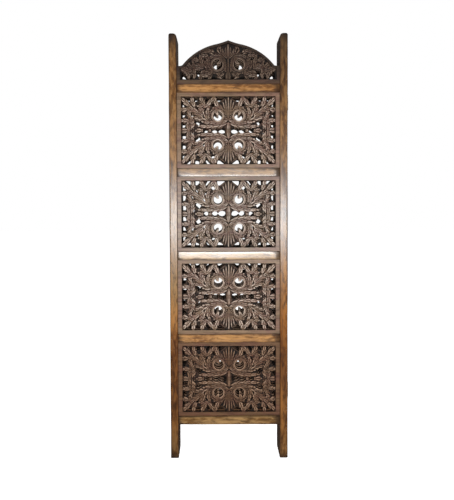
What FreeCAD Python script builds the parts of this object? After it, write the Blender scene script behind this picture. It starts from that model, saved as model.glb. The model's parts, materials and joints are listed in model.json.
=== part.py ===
import FreeCAD, Part
import math
import os
from FreeCAD import Vector

# A carved jali folding screen: tall leaves hinged edge to edge, stored folded flat, one leaf behind another.
# Each leaf is a frame of two posts and five rails. A groove runs down each post and along each rail: it takes
# the rails' stub tenons, four pierced boards and a pierced arch. Pairs of butt hinges join neighbouring
# leaves, on the right side, then the left, then the right again, so the screen opens in a zigzag.
# Millimetres. X runs across the screen, Y from the front to the back and Z up. The origin is on the floor,
# in the middle of the folded stack. Leaf 1 is at the front.

# The leaves
leaf_count = 4
leaf_width = 508.0
leaf_depth = 25.0
leaf_gap = 3.0

# The posts
post_width = 35.0
post_above_arch = 29.0
post_inner_round = 16.0
post_outer_cut = 6.0
post_chamfer = 4.0
leg_height = 146.0

# The rails
rail_names = ["bottom", "lower", "middle", "upper", "top"]
rail_height = 38.0

# The pierced boards
jali_names = ["bottom", "lower", "upper", "top"]
opening_height = 320.0
board_depth = 13.0
groove_depth = 12.0
groove_play = 0.15
border_side = 16.0
border_end = 15.0
field_drop = 2.2
eye_radius = 21.5
eye_sides = 7

# The pierced arch
arch_rise = 184.0
arch_shoulder_height = 76.0
arch_shoulder_width = 21.0
keel_rise = 11.0
keel_half_width = 55.0
keel_sag = 1.5
arch_eye_radius = 18.0

# The butt hinges
hinges_per_side = 2
hinge_inset = 290.0
hinge_length = 64.0
plate_width = 20.0
plate_thickness = 1.5
plate_recess = 1.0
plate_play = 0.2
barrel_sides = 8
knuckle_radius = 3.2
knuckle_play = 0.4
pin_radius = 1.6
pin_play = 0.05
pin_stand_off = 1.2

# One overrun serves every cut that leaves a solid.
overrun = 1.0

# Worked out from the values above
opening_width = leaf_width - 2 * post_width
opening_half = opening_width / 2
leaf_half = leaf_width / 2
rail_pitch = rail_height + opening_height
rail_bottoms = [leg_height + i * rail_pitch for i in range(len(rail_names))]
arch_base = rail_bottoms[-1] + rail_height
post_height = arch_base + arch_rise + post_above_arch
stack_depth = leaf_count * leaf_depth + (leaf_count - 1) * leaf_gap
groove_width = board_depth + 2 * groove_play
seat_depth = groove_depth - groove_play
field_half = opening_half - border_side
field_half_height = opening_height / 2 - border_end
hinge_step = (post_height - 2 * hinge_inset) / (hinges_per_side - 1)
hinge_heights = [hinge_inset + i * hinge_step for i in range(hinges_per_side)]
knuckle_length = hinge_length / 3

# The piercings of one quarter of a board: shares of the carved field's half width and half height,
# measured from the board's centre. Mirroring gives the other three quarters.
quarter_hole_shares = {
    "rim_leaf_gap": [(0.76, 0.97), (0.58, 0.97), (0.67, 0.74)],
    "rim_slant_gap": [(0.54, 0.97), (0.31, 0.97), (0.48, 0.74)],
    "palmette_gap": [(0.27, 0.97), (0.03, 0.97), (0.19, 0.74)],
    "side_gap": [(0.98, 0.60), (0.86, 0.32), (0.98, 0.08)],
    "arrow_gap": [(0.75, 0.36), (0.53, 0.28), (0.64, 0.05)],
}
eye_place_shares = (0.228, 0.435)

# The piercings on the board's level centre line, as shares of the same sizes, mirrored from left to right.
centre_hole_shares = {
    "twin_gap": [(0.36, 0.0), (0.17, 0.15), (0.04, 0.0), (0.17, -0.15)],
    "tail_gap": [(0.56, 0.0), (0.42, 0.12), (0.42, -0.12)],
}

# The piercings of one half of the arch: shares of the field's half width and the arch's rise, measured from
# the middle of its foot. Mirroring gives the other half.
arch_hole_shares = {
    "corner_gap": [(0.97, 0.10), (0.84, 0.10), (0.92, 0.25)],
    "leaf_gap": [(0.72, 0.10), (0.56, 0.14), (0.66, 0.28)],
    "foot_gap": [(0.42, 0.10), (0.06, 0.10), (0.26, 0.19)],
    "crown_gap": [(0.34, 0.66), (0.19, 0.66), (0.23, 0.78)],
}
arch_eye_place_shares = (0.247, 0.42)

# One half of the arch's carved field, from its shoulder to its crown, as shares of the same sizes.
arch_field_shares = [(1.0, 0.34), (0.6, 0.75), (0.0, 0.925)]


def box(x, y, z):
    """A box between two corners, each axis given as (low, high) in either order."""
    low = Vector(min(x), min(y), min(z))
    high = Vector(max(x), max(y), max(z))
    size = high - low
    return Part.makeBox(size.x, size.y, size.z, low)


def closed_wire(points):
    return Part.makePolygon(list(points) + [points[0]])


def chamfered_outline(across, up, cut):
    """The corners of a rectangle between two values each way, with every corner cut off at 45 degrees."""
    low, high = min(across), max(across)
    bottom, top = min(up), max(up)
    return [
        (low + cut, bottom),
        (high - cut, bottom),
        (high, bottom + cut),
        (high, top - cut),
        (high - cut, top),
        (low + cut, top),
        (low, top - cut),
        (low, bottom + cut),
    ]


def leaf_middle(leaf):
    """The Y of a leaf's middle plane. Leaf 0 is the front one."""
    return (leaf_depth - stack_depth) / 2 + leaf * (leaf_depth + leaf_gap)


def save(shape, name):
    shape.exportStep(os.path.join("parts", name + ".step"))


# Posts

def post_outline(side, front):
    """A post's front outline: straight, its top rounded on the inner corner and cut on the outer one."""
    inner = side * opening_half
    outer = side * leaf_half
    round_x = inner + side * post_inner_round
    round_z = post_height - post_inner_round
    slant = math.sqrt(0.5) * post_inner_round

    def at(x, z):
        return Vector(x, front, z)

    straight = [
        at(inner, round_z),
        at(inner, 0),
        at(outer, 0),
        at(outer, post_height - post_outer_cut),
        at(outer - side * post_outer_cut, post_height),
        at(round_x, post_height),
    ]
    top_round = Part.Arc(straight[-1], at(round_x - side * slant, round_z + slant), straight[0])
    return Part.Wire(Part.makePolygon(straight).Edges + [top_round.toShape()])


def hinge_side(joint):
    """The side of the stack that a joint's hinges are on: right, left and right again."""
    return 1 if joint % 2 == 0 else -1


def hinge_pin_x(joint):
    return hinge_side(joint) * (leaf_half + pin_stand_off)


def hinge_pin_y(joint):
    return leaf_middle(joint) + (leaf_depth + leaf_gap) / 2


def plate_mortise(joint, face, height):
    """The shallow recess for one hinge plate. face is -1 on the leaf in front of the pin and 1 behind it."""
    side = hinge_side(joint)
    pin_y = hinge_pin_y(joint)
    outer = side * leaf_half
    return box(
        (outer - side * plate_recess, outer + side * overrun),
        (pin_y, pin_y + face * (plate_width + plate_play)),
        (height - hinge_length / 2 - plate_play, height + hinge_length / 2 + plate_play),
    )


def post(leaf, side):
    """A post with eased long edges, a groove down its inner side and recesses for its hinge plates."""
    middle = leaf_middle(leaf)
    front = middle - leaf_depth / 2
    inner = side * opening_half
    outline = Part.Face(post_outline(side, front)).extrude(Vector(0, leaf_depth, 0))
    section = chamfered_outline((inner, side * leaf_half), (front, front + leaf_depth), post_chamfer)
    bar = Part.Face(closed_wire([Vector(x, y, 0) for x, y in section])).extrude(Vector(0, 0, post_height))
    cuts = [
        box(
            (inner - side * overrun, inner + side * groove_depth),
            (middle - groove_width / 2, middle + groove_width / 2),
            (leg_height + groove_depth - groove_play, arch_base + arch_shoulder_height + groove_play),
        )
    ]
    for joint in (leaf - 1, leaf):
        if 0 <= joint < leaf_count - 1 and hinge_side(joint) == side:
            face = -1 if joint == leaf else 1
            cuts += [plate_mortise(joint, face, height) for height in hinge_heights]
    return outline.common(bar).cut(cuts)


# Rails

def rail(leaf, rail_bottom):
    """A rail with a stub tenon at each end and a groove along each edge that holds a board."""
    middle = leaf_middle(leaf)
    rail_top = rail_bottom + rail_height
    body = box(
        (-opening_half, opening_half),
        (middle - leaf_depth / 2, middle + leaf_depth / 2),
        (rail_bottom, rail_top),
    )
    tenon_half = opening_half + seat_depth
    tenons = box(
        (-tenon_half, tenon_half),
        (middle - board_depth / 2, middle + board_depth / 2),
        (rail_bottom + groove_depth, rail_top - groove_depth),
    )
    levels = [(rail_top - groove_depth, rail_top + overrun)]
    if rail_bottom > leg_height:
        levels.append((rail_bottom - overrun, rail_bottom + groove_depth))
    across = (-opening_half - overrun, opening_half + overrun)
    grooves = [box(across, (middle - groove_width / 2, middle + groove_width / 2), level) for level in levels]
    return body.cut(grooves).fuse(tenons).removeSplitter()


# Pierced boards

def mirrored(points, flip_x, flip_z):
    return [(x * flip_x, z * flip_z) for x, z in points]


def eye_points(centre_x, centre_z, radius):
    """A round piercing, as a polygon."""
    step = 2 * math.pi / eye_sides
    return [
        (centre_x + radius * math.cos((i + 0.5) * step), centre_z + radius * math.sin((i + 0.5) * step))
        for i in range(eye_sides)
    ]


def pierced_plate(outline, field, holes, leaf):
    """A board with the given outline and piercings, its carved field sunk on both faces. Points are (x, z)."""
    front = leaf_middle(leaf) - board_depth / 2
    wires = [outline] + [closed_wire([Vector(x, 0, z) for x, z in points]) for points in holes]
    plate = Part.makeFace(wires, "Part::FaceMakerBullseye").extrude(Vector(0, board_depth, 0))
    sunk = Part.Face(closed_wire([Vector(x, 0, z) for x, z in field]))
    carved = []
    for start in (-overrun, board_depth - field_drop):
        level = sunk.translated(Vector(0, start, 0))
        carved.append(level.extrude(Vector(0, field_drop + overrun, 0)))
    return plate.cut(carved).translate(Vector(0, front, 0))


def jali_holes(centre_z):
    holes = []
    for flip_x in (-1, 1):
        for flip_z in (-1, 1):
            for shares in quarter_hole_shares.values():
                points = [(x * field_half, z * field_half_height) for x, z in shares]
                holes.append(mirrored(points, flip_x, flip_z))
            eye_x, eye_z = eye_place_shares
            points = eye_points(eye_x * field_half, eye_z * field_half_height, eye_radius)
            holes.append(mirrored(points, flip_x, flip_z))
        for shares in centre_hole_shares.values():
            points = [(x * field_half, z * field_half_height) for x, z in shares]
            holes.append(mirrored(points, flip_x, 1))
    return [[(x, z + centre_z) for x, z in points] for points in holes]


def jali(leaf, opening_bottom):
    """A pierced board whose edges stand in the grooves of the posts and rails."""
    reach_x = opening_half + seat_depth
    low = opening_bottom - seat_depth
    high = opening_bottom + opening_height + seat_depth
    corners = [(-reach_x, low), (reach_x, low), (reach_x, high), (-reach_x, high)]
    outline = closed_wire([Vector(x, 0, z) for x, z in corners])
    centre_z = opening_bottom + opening_height / 2
    low_field, high_field = centre_z - field_half_height, centre_z + field_half_height
    field = [(-field_half, low_field), (field_half, low_field), (field_half, high_field), (-field_half, high_field)]
    return pierced_plate(outline, field, jali_holes(centre_z), leaf)


# Pierced arch

def arch_outline():
    """A round arch with a small keel point, between two level shoulders that stand in the posts' grooves."""
    reach_x = opening_half + seat_depth
    low = arch_base - seat_depth
    shoulder = arch_base + arch_shoulder_height
    spring = opening_half - arch_shoulder_width
    crown = arch_rise - keel_rise
    centre = (crown**2 - arch_shoulder_height**2 - spring**2) / (2 * (crown - arch_shoulder_height))
    radius = crown - centre
    keel_foot = centre + math.sqrt(radius**2 - keel_half_width**2)
    spring_angle = math.atan2(arch_shoulder_height - centre, spring)
    foot_angle = math.atan2(keel_foot - centre, keel_half_width)
    middle_angle = (spring_angle + foot_angle) / 2

    def at(x, z):
        return Vector(x, 0, z)

    tip = at(0, arch_base + arch_rise)
    edges = []
    for side in (1, -1):
        foot = at(side * keel_half_width, arch_base + keel_foot)
        springing = at(side * spring, shoulder)
        across = side * radius * math.cos(middle_angle)
        on_round = at(across, arch_base + centre + radius * math.sin(middle_angle))
        on_keel = (tip + foot) * 0.5 - Vector(0, 0, keel_sag)
        edges += [
            Part.makeLine(at(side * reach_x, low), at(side * reach_x, shoulder)),
            Part.makeLine(at(side * reach_x, shoulder), springing),
            Part.Arc(springing, on_round, foot).toShape(),
            Part.Arc(foot, on_keel, tip).toShape(),
        ]
    edges.append(Part.makeLine(at(-reach_x, low), at(reach_x, low)))
    return Part.Wire(Part.__sortEdges__(edges))


def arch_field():
    """The arch's carved field: its level foot, two short sides and a top of flat stretches inside the round."""
    half = [(x * field_half, arch_base + z * arch_rise) for x, z in arch_field_shares]
    foot = arch_base + border_end
    return [(-field_half, foot), (field_half, foot)] + half + mirrored(half[-2::-1], -1, 1)


def arch(leaf):
    holes = []
    for flip_x in (-1, 1):
        for shares in arch_hole_shares.values():
            points = [(x * field_half, arch_base + z * arch_rise) for x, z in shares]
            holes.append(mirrored(points, flip_x, 1))
        eye_x, eye_z = arch_eye_place_shares
        points = eye_points(eye_x * field_half, arch_base + eye_z * arch_rise, arch_eye_radius)
        holes.append(mirrored(points, flip_x, 1))
    return pierced_plate(arch_outline(), arch_field(), holes, leaf)


# Hinges

def barrel(joint, corner_radius, low, high):
    """A bar of flat sides on a joint's pin line, measured to its corners."""
    points = []
    for i in range(barrel_sides):
        angle = 2 * math.pi * i / barrel_sides
        along = Vector(math.cos(angle), math.sin(angle), 0) * corner_radius
        points.append(Vector(hinge_pin_x(joint), hinge_pin_y(joint), low) + along)
    return Part.Face(closed_wire(points)).extrude(Vector(0, 0, high - low))


def hinge_plate(joint, height, face):
    """A plate and its knuckles: the outer two on the plate in front of the pin, the middle one behind."""
    side = hinge_side(joint)
    pin_y = hinge_pin_y(joint)
    seat = side * (leaf_half - plate_recess)
    across = (seat, seat + side * plate_thickness)
    low = height - hinge_length / 2
    high = height + hinge_length / 2
    if face < 0:
        spans = [(low, low + knuckle_length), (high - knuckle_length, high)]
    else:
        spans = [(low + knuckle_length + knuckle_play, high - knuckle_length - knuckle_play)]
    clear_of_knuckles = knuckle_radius + knuckle_play
    bore_radius = (pin_radius + pin_play) / math.cos(math.pi / barrel_sides)
    wall_middle = (knuckle_radius + bore_radius) / 2
    plate = box(across, (pin_y + face * clear_of_knuckles, pin_y + face * plate_width), (low, high))
    pieces = []
    for span in spans:
        pieces.append(box(across, (pin_y + face * wall_middle, pin_y + face * clear_of_knuckles), span))
        pieces.append(barrel(joint, knuckle_radius, *span))
    bore = barrel(joint, bore_radius, low - overrun, high + overrun)
    return plate.fuse(pieces).cut(bore).removeSplitter()


def hinge_pin(joint, height):
    return barrel(joint, pin_radius, height - hinge_length / 2, height + hinge_length / 2)


# The whole screen

def build():
    os.makedirs("parts", exist_ok=True)
    for leaf in range(leaf_count):
        name = "leaf_%d_" % (leaf + 1)
        save(post(leaf, -1), name + "left_post")
        save(post(leaf, 1), name + "right_post")
        for rail_name, bottom in zip(rail_names, rail_bottoms):
            save(rail(leaf, bottom), name + rail_name + "_rail")
        for jali_name, bottom in zip(jali_names, rail_bottoms):
            save(jali(leaf, bottom + rail_height), name + jali_name + "_jali")
        save(arch(leaf), name + "arch_jali")
    for joint in range(leaf_count - 1):
        name = "hinge_set_%d_" % (joint + 1)
        save(Part.makeCompound([hinge_plate(joint, z, -1) for z in hinge_heights]), name + "front_plates")
        save(Part.makeCompound([hinge_plate(joint, z, 1) for z in hinge_heights]), name + "back_plates")
        save(Part.makeCompound([hinge_pin(joint, z) for z in hinge_heights]), name + "pins")


build()
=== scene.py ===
"""The looks of a carved folding screen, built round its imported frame.

The screen has four leaves. Each leaf is two posts and five rails round four pierced and carved boards,
under a carved arch. Brass butt hinges join the leaves. The patterns of the carving and the sizes of boards
and arches are in millimetres, all else is in metres.
"""

import json
import math

import bmesh
import bpy
import numpy as np
from bpy.props import FloatProperty, FloatVectorProperty, IntProperty, PointerProperty
from mathutils import Euler, Matrix, Vector

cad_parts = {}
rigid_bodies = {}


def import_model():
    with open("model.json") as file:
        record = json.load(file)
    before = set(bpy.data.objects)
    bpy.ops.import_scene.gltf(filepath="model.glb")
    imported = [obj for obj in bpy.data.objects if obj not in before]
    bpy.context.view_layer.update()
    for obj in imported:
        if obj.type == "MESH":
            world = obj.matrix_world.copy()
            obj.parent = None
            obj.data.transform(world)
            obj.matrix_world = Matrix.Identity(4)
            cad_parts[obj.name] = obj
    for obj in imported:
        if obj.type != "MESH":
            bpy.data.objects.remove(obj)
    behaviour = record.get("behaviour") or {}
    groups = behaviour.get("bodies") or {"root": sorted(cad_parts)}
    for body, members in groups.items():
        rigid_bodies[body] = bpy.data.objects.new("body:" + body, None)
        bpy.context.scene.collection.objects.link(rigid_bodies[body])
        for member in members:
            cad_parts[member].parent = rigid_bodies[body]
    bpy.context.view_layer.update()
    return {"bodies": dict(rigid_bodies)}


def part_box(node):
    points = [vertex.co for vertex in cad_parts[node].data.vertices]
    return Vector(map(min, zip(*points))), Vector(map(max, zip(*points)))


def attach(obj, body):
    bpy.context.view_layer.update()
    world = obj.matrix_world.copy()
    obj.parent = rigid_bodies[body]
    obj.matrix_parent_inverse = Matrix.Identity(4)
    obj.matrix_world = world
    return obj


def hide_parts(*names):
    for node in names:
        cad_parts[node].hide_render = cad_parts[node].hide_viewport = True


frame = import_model()

bl_info = {
    "name": "Carved Jali Screen",
    "version": (1, 0, 0),
    "blender": (4, 5, 0),
    "location": "3D View > Sidebar > Jali Screen",
    "description": "Dresses a four-leaf carved jali screen in wood and brass",
    "category": "Object",
}

MM = 0.001
LEAVES = sorted(frame["bodies"])
BOARD_NAMES = ("bottom", "lower", "upper", "top")
RAIL_NAMES = ("bottom", "lower", "middle", "upper", "top")
HINGE_SETS = range(1, len(LEAVES))


def node_box(node):
    """The lowest and highest corner of a solid, in metres."""
    low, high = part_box(node)
    return np.array(low), np.array(high)


# The carving of a board

# One quarter of a board, measured from its middle. The other three quarters mirror it.
# A leaf is the base, bend and tip of its midrib, its half width, its rise and its count of lobes.
BOARD_LEAVES = {
    "fan_middle": [(0, 50), (0, 95), (0, 144), 6.0, 1.0, 0],
    "fan_second": [(2, 54), (10, 92), (12, 132), 5.5, 0.95, 0],
    "fan_third": [(4, 58), (16, 90), (24, 122), 5.5, 0.95, 0],
    "fan_fourth": [(7, 62), (24, 88), (36, 110), 5.5, 0.9, 0],
    "fan_cheek": [(8, 54), (18, 62), (24, 84), 5.0, 0.7, 0],
    "bud": [(0, 2), (0, 18), (0, 36), 10.0, 0.8, 0],
    "cross_band": [(-6, 56), (10, 38), (44, 30), 5.0, 0.95, 0],
    "petal": [(4, 40), (12, 56), (24, 46), 8.0, 0.8, 4],
    "ring_top": [(42, 97), (52, 108), (64, 144), 11.0, 1.0, 5],
    "ring_crown": [(26, 100), (46, 90), (64, 98), 9.0, 0.8, 5],
    "rim_fork": [(98, 104), (78, 114), (58, 146), 9.0, 1.0, 5],
    "rim_strip": [(94, 104), (112, 112), (118, 146), 10.0, 1.0, 5],
    "level_strip": [(80, 102), (104, 110), (130, 104), 9.0, 0.9, 5],
    "outer_strip": [(142, 98), (152, 116), (156, 146), 9.5, 0.95, 5],
    "corner_strip": [(160, 104), (178, 114), (204, 142), 10.0, 1.0, 5],
    "corner_rib": [(84, 38), (128, 78), (176, 108), 12.0, 1.0, 9],
    "corner_inner": [(84, 46), (96, 72), (84, 98), 10.0, 0.95, 6],
    "corner_upper": [(104, 66), (122, 90), (118, 106), 12.0, 0.95, 6],
    "corner_lower": [(112, 58), (134, 66), (146, 88), 11.0, 0.9, 6],
    "corner_back": [(106, 46), (134, 52), (150, 58), 9.0, 0.9, 5],
    "corner_far": [(140, 84), (158, 88), (176, 96), 10.0, 0.85, 5],
    "side_middle": [(150, 44), (162, 56), (172, 98), 11.0, 0.9, 6],
    "side_inner": [(158, 6), (152, 28), (160, 52), 10.0, 0.95, 6],
    "side_column": [(170, -6), (174, 22), (168, 58), 8.0, 0.9, 5],
    "bridge_middle": [(166, 0), (186, 4), (206, 0), 8.0, 0.9, 3],
    "bridge_lower": [(164, 46), (186, 40), (206, 44), 9.0, 0.95, 4],
    "bridge_upper": [(172, 92), (190, 86), (206, 92), 9.5, 0.9, 4],
    "wing_upper": [(0, 48), (30, 24), (112, 38), 9.0, 1.0, 9],
    "wing_lower": [(4, 30), (64, 14), (128, 18), 9.5, 0.95, 9],
    "wing_gap": [(16, 20), (40, 16), (70, 16), 5.0, 0.7, 3],
    "tail_leaf": [(110, 0), (124, 3), (140, 0), 8.0, 0.9, 3],
    "middle_bud": [(76, 6), (80, 0), (84, -6), 7.0, 0.7, 0],
    "heart": [(0, 10), (0, 0), (0, -10), 9.0, 0.7, 0],
}
BOARD_HOLES = {
    "corner_hook": [(192, 145), (163, 145), (160, 133), (163, 122), (170, 123), (180, 132)],
    "side_top": [(203, 123), (203, 100), (184, 99), (181, 107), (189, 111), (193, 121), (199, 128)],
    "rim_round": [(147, 145), (124, 145), (123, 133), (131, 124), (140, 121), (148, 125)],
    "rim_slant": [(92, 145), (71, 145), (79, 136), (89, 124), (97, 119), (103, 126), (97, 137)],
    "rim_palmette": [(50, 145), (11, 145), (16, 137), (27, 128), (37, 121), (46, 121), (51, 132)],
    "ring_gap": [(78, 112), (73, 121), (62, 121), (55, 111), (60, 102), (70, 102)],
    "side_upper": [(203, 80), (184, 80), (181, 71), (184, 61), (188, 55), (203, 54)],
    "side_lower": [(203, 36), (183, 36), (180, 24), (184, 14), (190, 11), (203, 12)],
    "arrow": [(147, 37), (138, 50), (128, 47), (114, 36), (121, 27), (126, 15), (134, 24), (143, 31)],
    "crescent": [(161, 0), (159, 9), (152, 16), (144, 18), (143, 12), (150, 8), (153, 0)],
    "tail": [(86, 6), (92, 12), (100, 12), (113, 0), (100, -12), (92, -12), (86, -6)],
    "twin": [(9, 0), (14, 12), (26, 16), (38, 13), (45, 6), (51, 13), (63, 14), (73, 6),
             (73, -6), (63, -14), (51, -13), (45, -6), (38, -13), (26, -16), (14, -12)],
    "slit_outer": [(165, 77), (158, 81), (152, 74), (149, 57), (156, 56), (161, 66)],
    "slit_inner": [(112, 67), (106, 70), (100, 62), (96, 52), (104, 50), (111, 55)],
    "drop": [(109, 83), (103, 90), (96, 93), (93, 89), (95, 83), (102, 80)],
    "slit_upper": [(146, 100), (142, 106), (134, 105), (131, 98), (127, 89), (133, 88), (141, 94)],
    "fan_slit": [(20, 74), (16, 70), (17, 60), (22, 66)],
    "wing_slit": [(104, 30), (90, 31), (76, 27), (90, 24)],
}
HOLE_INSET = 2.2
# An eye is a round piercing: its middle, its radius, and the leaf that curls into it with its half width.
BOARD_EYE = [(45.5, 61.5), 19.1, ((50, 94), (55, 78), (43, 66)), 8.5]

# One half of the arch, measured from the middle of its foot.
ARCH_LEAVES = {
    "trunk": [(0, 14), (0, 60), (0, 112), 6.5, 0.85, 0],
    "trunk_side": [(8, 50), (20, 70), (14, 112), 9.0, 0.9, 0],
    "trunk_cheek": [(4, 60), (22, 92), (24, 118), 8.0, 0.85, 0],
    "fleuron_middle": [(0, 110), (0, 136), (0, 168), 8.0, 1.0, 0],
    "fleuron_inner": [(3, 112), (11, 132), (10, 154), 7.0, 1.0, 0],
    "fleuron_side": [(5, 110), (20, 122), (25, 148), 8.5, 1.0, 0],
    "fleuron_outer": [(12, 112), (34, 120), (44, 152), 9.0, 0.9, 5],
    "crown_leaf": [(30, 126), (44, 146), (34, 164), 10.0, 0.8, 5],
    "foot_bud": [(2, 16), (8, 36), (3, 52), 7.0, 0.9, 0],
    "foot_leaf": [(20, 20), (38, 32), (48, 54), 9.0, 0.95, 5],
    "foot_back": [(16, 46), (28, 34), (46, 28), 7.0, 0.8, 4],
    "long_leaf": [(120, 38), (94, 28), (68, 54), 10.0, 1.0, 8],
    "long_back": [(124, 50), (96, 50), (60, 46), 9.0, 0.85, 7],
    "low_fork": [(88, 14), (80, 26), (70, 40), 7.0, 0.8, 3],
    "eye_back": [(60, 54), (90, 70), (84, 112), 12.0, 0.9, 9],
    "eye_over": [(20, 112), (50, 124), (84, 110), 11.0, 0.95, 7],
    "scroll_stem": [(92, 62), (100, 84), (92, 110), 9.0, 0.85, 6],
    "scroll_leaf": [(110, 66), (112, 92), (120, 118), 11.0, 0.95, 7],
    "scroll_over": [(84, 112), (96, 132), (122, 112), 9.0, 0.95, 6],
    "rim_leaf": [(60, 120), (74, 150), (108, 140), 11.0, 0.9, 7],
    "rim_curl": [(84, 134), (104, 142), (122, 126), 9.0, 0.85, 5],
    "round_leaf": [(116, 66), (130, 84), (144, 70), 12.0, 1.0, 5],
    "round_back": [(124, 62), (132, 72), (146, 60), 9.0, 0.9, 4],
    "outer_stem": [(146, 18), (140, 60), (152, 104), 8.0, 0.95, 8],
    "outer_leaf": [(122, 100), (142, 100), (156, 112), 12.0, 0.9, 6],
    "side_leaf": [(150, 64), (170, 84), (182, 92), 12.0, 0.9, 6],
    "shoulder_leaf": [(150, 54), (178, 60), (206, 74), 13.0, 0.95, 8],
    "corner_arc": [(206, 62), (170, 64), (166, 18), 11.0, 1.0, 9],
    "low_leaf": [(150, 20), (158, 34), (152, 52), 9.0, 0.85, 5],
    "low_strip": [(112, 16), (122, 24), (118, 40), 8.0, 0.85, 4],
    "rim_strip": [(190, 88), (150, 124), (100, 144), 8.0, 0.8, 12],
    "rim_upper": [(100, 146), (60, 164), (14, 172), 8.0, 0.8, 10],
}
ARCH_HOLES = {
    "corner": [(202, 50), (203, 20), (176, 18), (178, 34), (186, 46), (194, 54)],
    "second": [(166, 20), (150, 20), (148, 36), (156, 46), (164, 34)],
    "third": [(142, 60), (132, 64), (118, 60), (115, 50), (120, 44), (124, 28), (130, 32), (138, 44)],
    "low_outer": [(112, 30), (112, 20), (90, 20), (84, 30), (94, 31)],
    "low_middle": [(74, 28), (78, 20), (50, 20), (44, 24), (56, 34), (66, 34)],
    "low_inner": [(34, 30), (26, 19), (12, 19), (14, 34), (24, 36)],
    "scroll_eye": [(110, 108), (100, 98), (94, 98), (92, 104), (98, 112), (106, 114)],
    "outer_spot": [(136, 110), (128, 104), (124, 108), (130, 114)],
    "shoulder_spot": [(162, 88), (154, 78), (150, 84), (156, 92)],
    "rim_spot": [(108, 130), (100, 126), (97, 130), (102, 134)],
    "crown_gap": [(72, 132), (60, 122), (54, 126), (60, 134), (70, 136)],
    "fleuron_gap": [(34, 148), (30, 130), (38, 132), (44, 144), (42, 154)],
}
ARCH_EYE = [(46, 82), 20.5, ((30, 114), (26, 92), (50, 84)), 9.5]

# How far the face drops at the edge of a piercing, and how wide that rounding is.
RIM_DROP = 1.8
RIM_REACH = 1.8

# A leaf's half width is this many times the one in its table, and has this share at its root.
LEAF_SPREAD = 1.22
ROOT_WIDTH = 0.3
SWELL_WIDTH = 0.7
BELLY_POWER = 0.85
SWELL_POWER = 0.7
# How far past its half width a leaf still counts, and how it falls from midrib to side: a share and a power.
LEAF_REACH = 1.25
LOBED_FALL = (0.6, 2.5)
PLAIN_FALL = (0.95, 2)
MIDRIB_CUT = 2.2
MIDRIB_HALF = 1.3
# The lobes and the fine cuts between them: depths, powers, and where over the half width they start.
LOBE_CUT = 2.5
LOBE_POWER = 0.7
LOBE_FULL = 0.82
LOBE_SWELL = 0.18
LOBE_SLOPE = 2.2
FINE_CUT = 1.3
FINE_POWER = 0.5
FINE_SLOPE = 3
CUT_START = 0.3
VEIN_SHARE = 0.5
VEIN_SLANT = 0.075
# A leaf without lobes has a flute along each side.
FLUTE_CUT = 0.8
FLUTE_PLACE = 0.55
FLUTE_HALF = 1.1

# A ring round an eye: its distance from the eye, half width, rise and count of notches.
EYE_RINGS = ((5.5, 6.5, 1.0, 0), (14.0, 7.5, 0.8, 26))
RING_FALL = 0.8
RING_REACH = 1.2
RING_GROOVE = 1.8
NOTCH_CUT = 2.0
NOTCH_TWIST = 5
CURL_ROOT = 0.12
CURL_LENGTH = 0.88
CURL_POWER = 0.6
CURL_FALL = 0.7
CURL_REACH = 1.1
CURL_VEINS = 4

# A gap where there is no edge at all, and the smallest length that counts.
NO_EDGE = 1000.0
TINY = 1e-6


def bezier(base, bend, tip, count=21):
    """Points along a curve from a base to a tip, pulled towards a bend."""
    share = np.linspace(0, 1, count)[:, None]
    points = np.array([base, bend, tip], float)
    return (1 - share) ** 2 * points[0] + 2 * (1 - share) * share * points[1] + share**2 * points[2]


def along(places, line):
    """How far along a line each place lies, as a share of its length, and its signed distance from it."""
    start = line[:-1]
    step = np.diff(line, axis=0)
    length = np.linalg.norm(step, axis=1)
    before = np.concatenate([[0], np.cumsum(length)])
    to = places[:, None, :] - start[None]
    share = np.clip((to * step).sum(2) / length**2, 0, 1)
    distance = np.linalg.norm(to - share[..., None] * step, axis=2)
    nearest = distance.argmin(1)
    rows = np.arange(len(places))
    reached = before[nearest] + share[rows, nearest] * length[nearest]
    turn = step[nearest, 0] * to[rows, nearest, 1] - step[nearest, 1] * to[rows, nearest, 0]
    return reached / before[-1], np.sign(turn) * distance[rows, nearest]


def leaf_height(places, ground, base, bend, tip, half_width, rise, lobes):
    """The height of one domed leaf with a cut midrib and lobed sides.

    Ground is the lowest level, below zero.
    """
    share, across = along(places, bezier(base, bend, tip))
    swell = np.sin(np.pi * share**BELLY_POWER) ** SWELL_POWER
    width = LEAF_SPREAD * half_width * (ROOT_WIDTH + SWELL_WIDTH * swell)
    turn = np.pi * (VEIN_SHARE * lobes * share - VEIN_SLANT * np.abs(across))
    lobe = np.abs(np.sin(turn)) ** LOBE_POWER
    vein = np.abs(np.sin(2 * turn)) ** FINE_POWER
    if lobes:
        width = width * (LOBE_FULL + LOBE_SWELL * lobe)
    off = np.abs(across) / width
    fall_share, fall_power = LOBED_FALL if lobes else PLAIN_FALL
    height = ground * (1 - rise * (1 - fall_share * off**fall_power))
    height -= MIDRIB_CUT * np.exp(-((across / MIDRIB_HALF) ** 2))
    if lobes:
        height -= LOBE_CUT * (1 - lobe) * np.clip(LOBE_SLOPE * off - CUT_START, 0, 1)
        height -= FINE_CUT * (1 - vein) * np.clip(FINE_SLOPE * off - CUT_START, 0, 1)
    else:
        flute = (np.abs(across) - FLUTE_PLACE * width) / FLUTE_HALF
        height -= FLUTE_CUT * LOBE_CUT * np.exp(-(flute**2))
    return np.where(off < LEAF_REACH, height, ground)


def curl_width(half, share):
    """The half width of the leaf in an eye: narrow at its root, pointed at its tip."""
    return half * np.clip(np.sin(np.pi * (CURL_ROOT + CURL_LENGTH * share)), 0, 1) ** CURL_POWER


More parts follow.
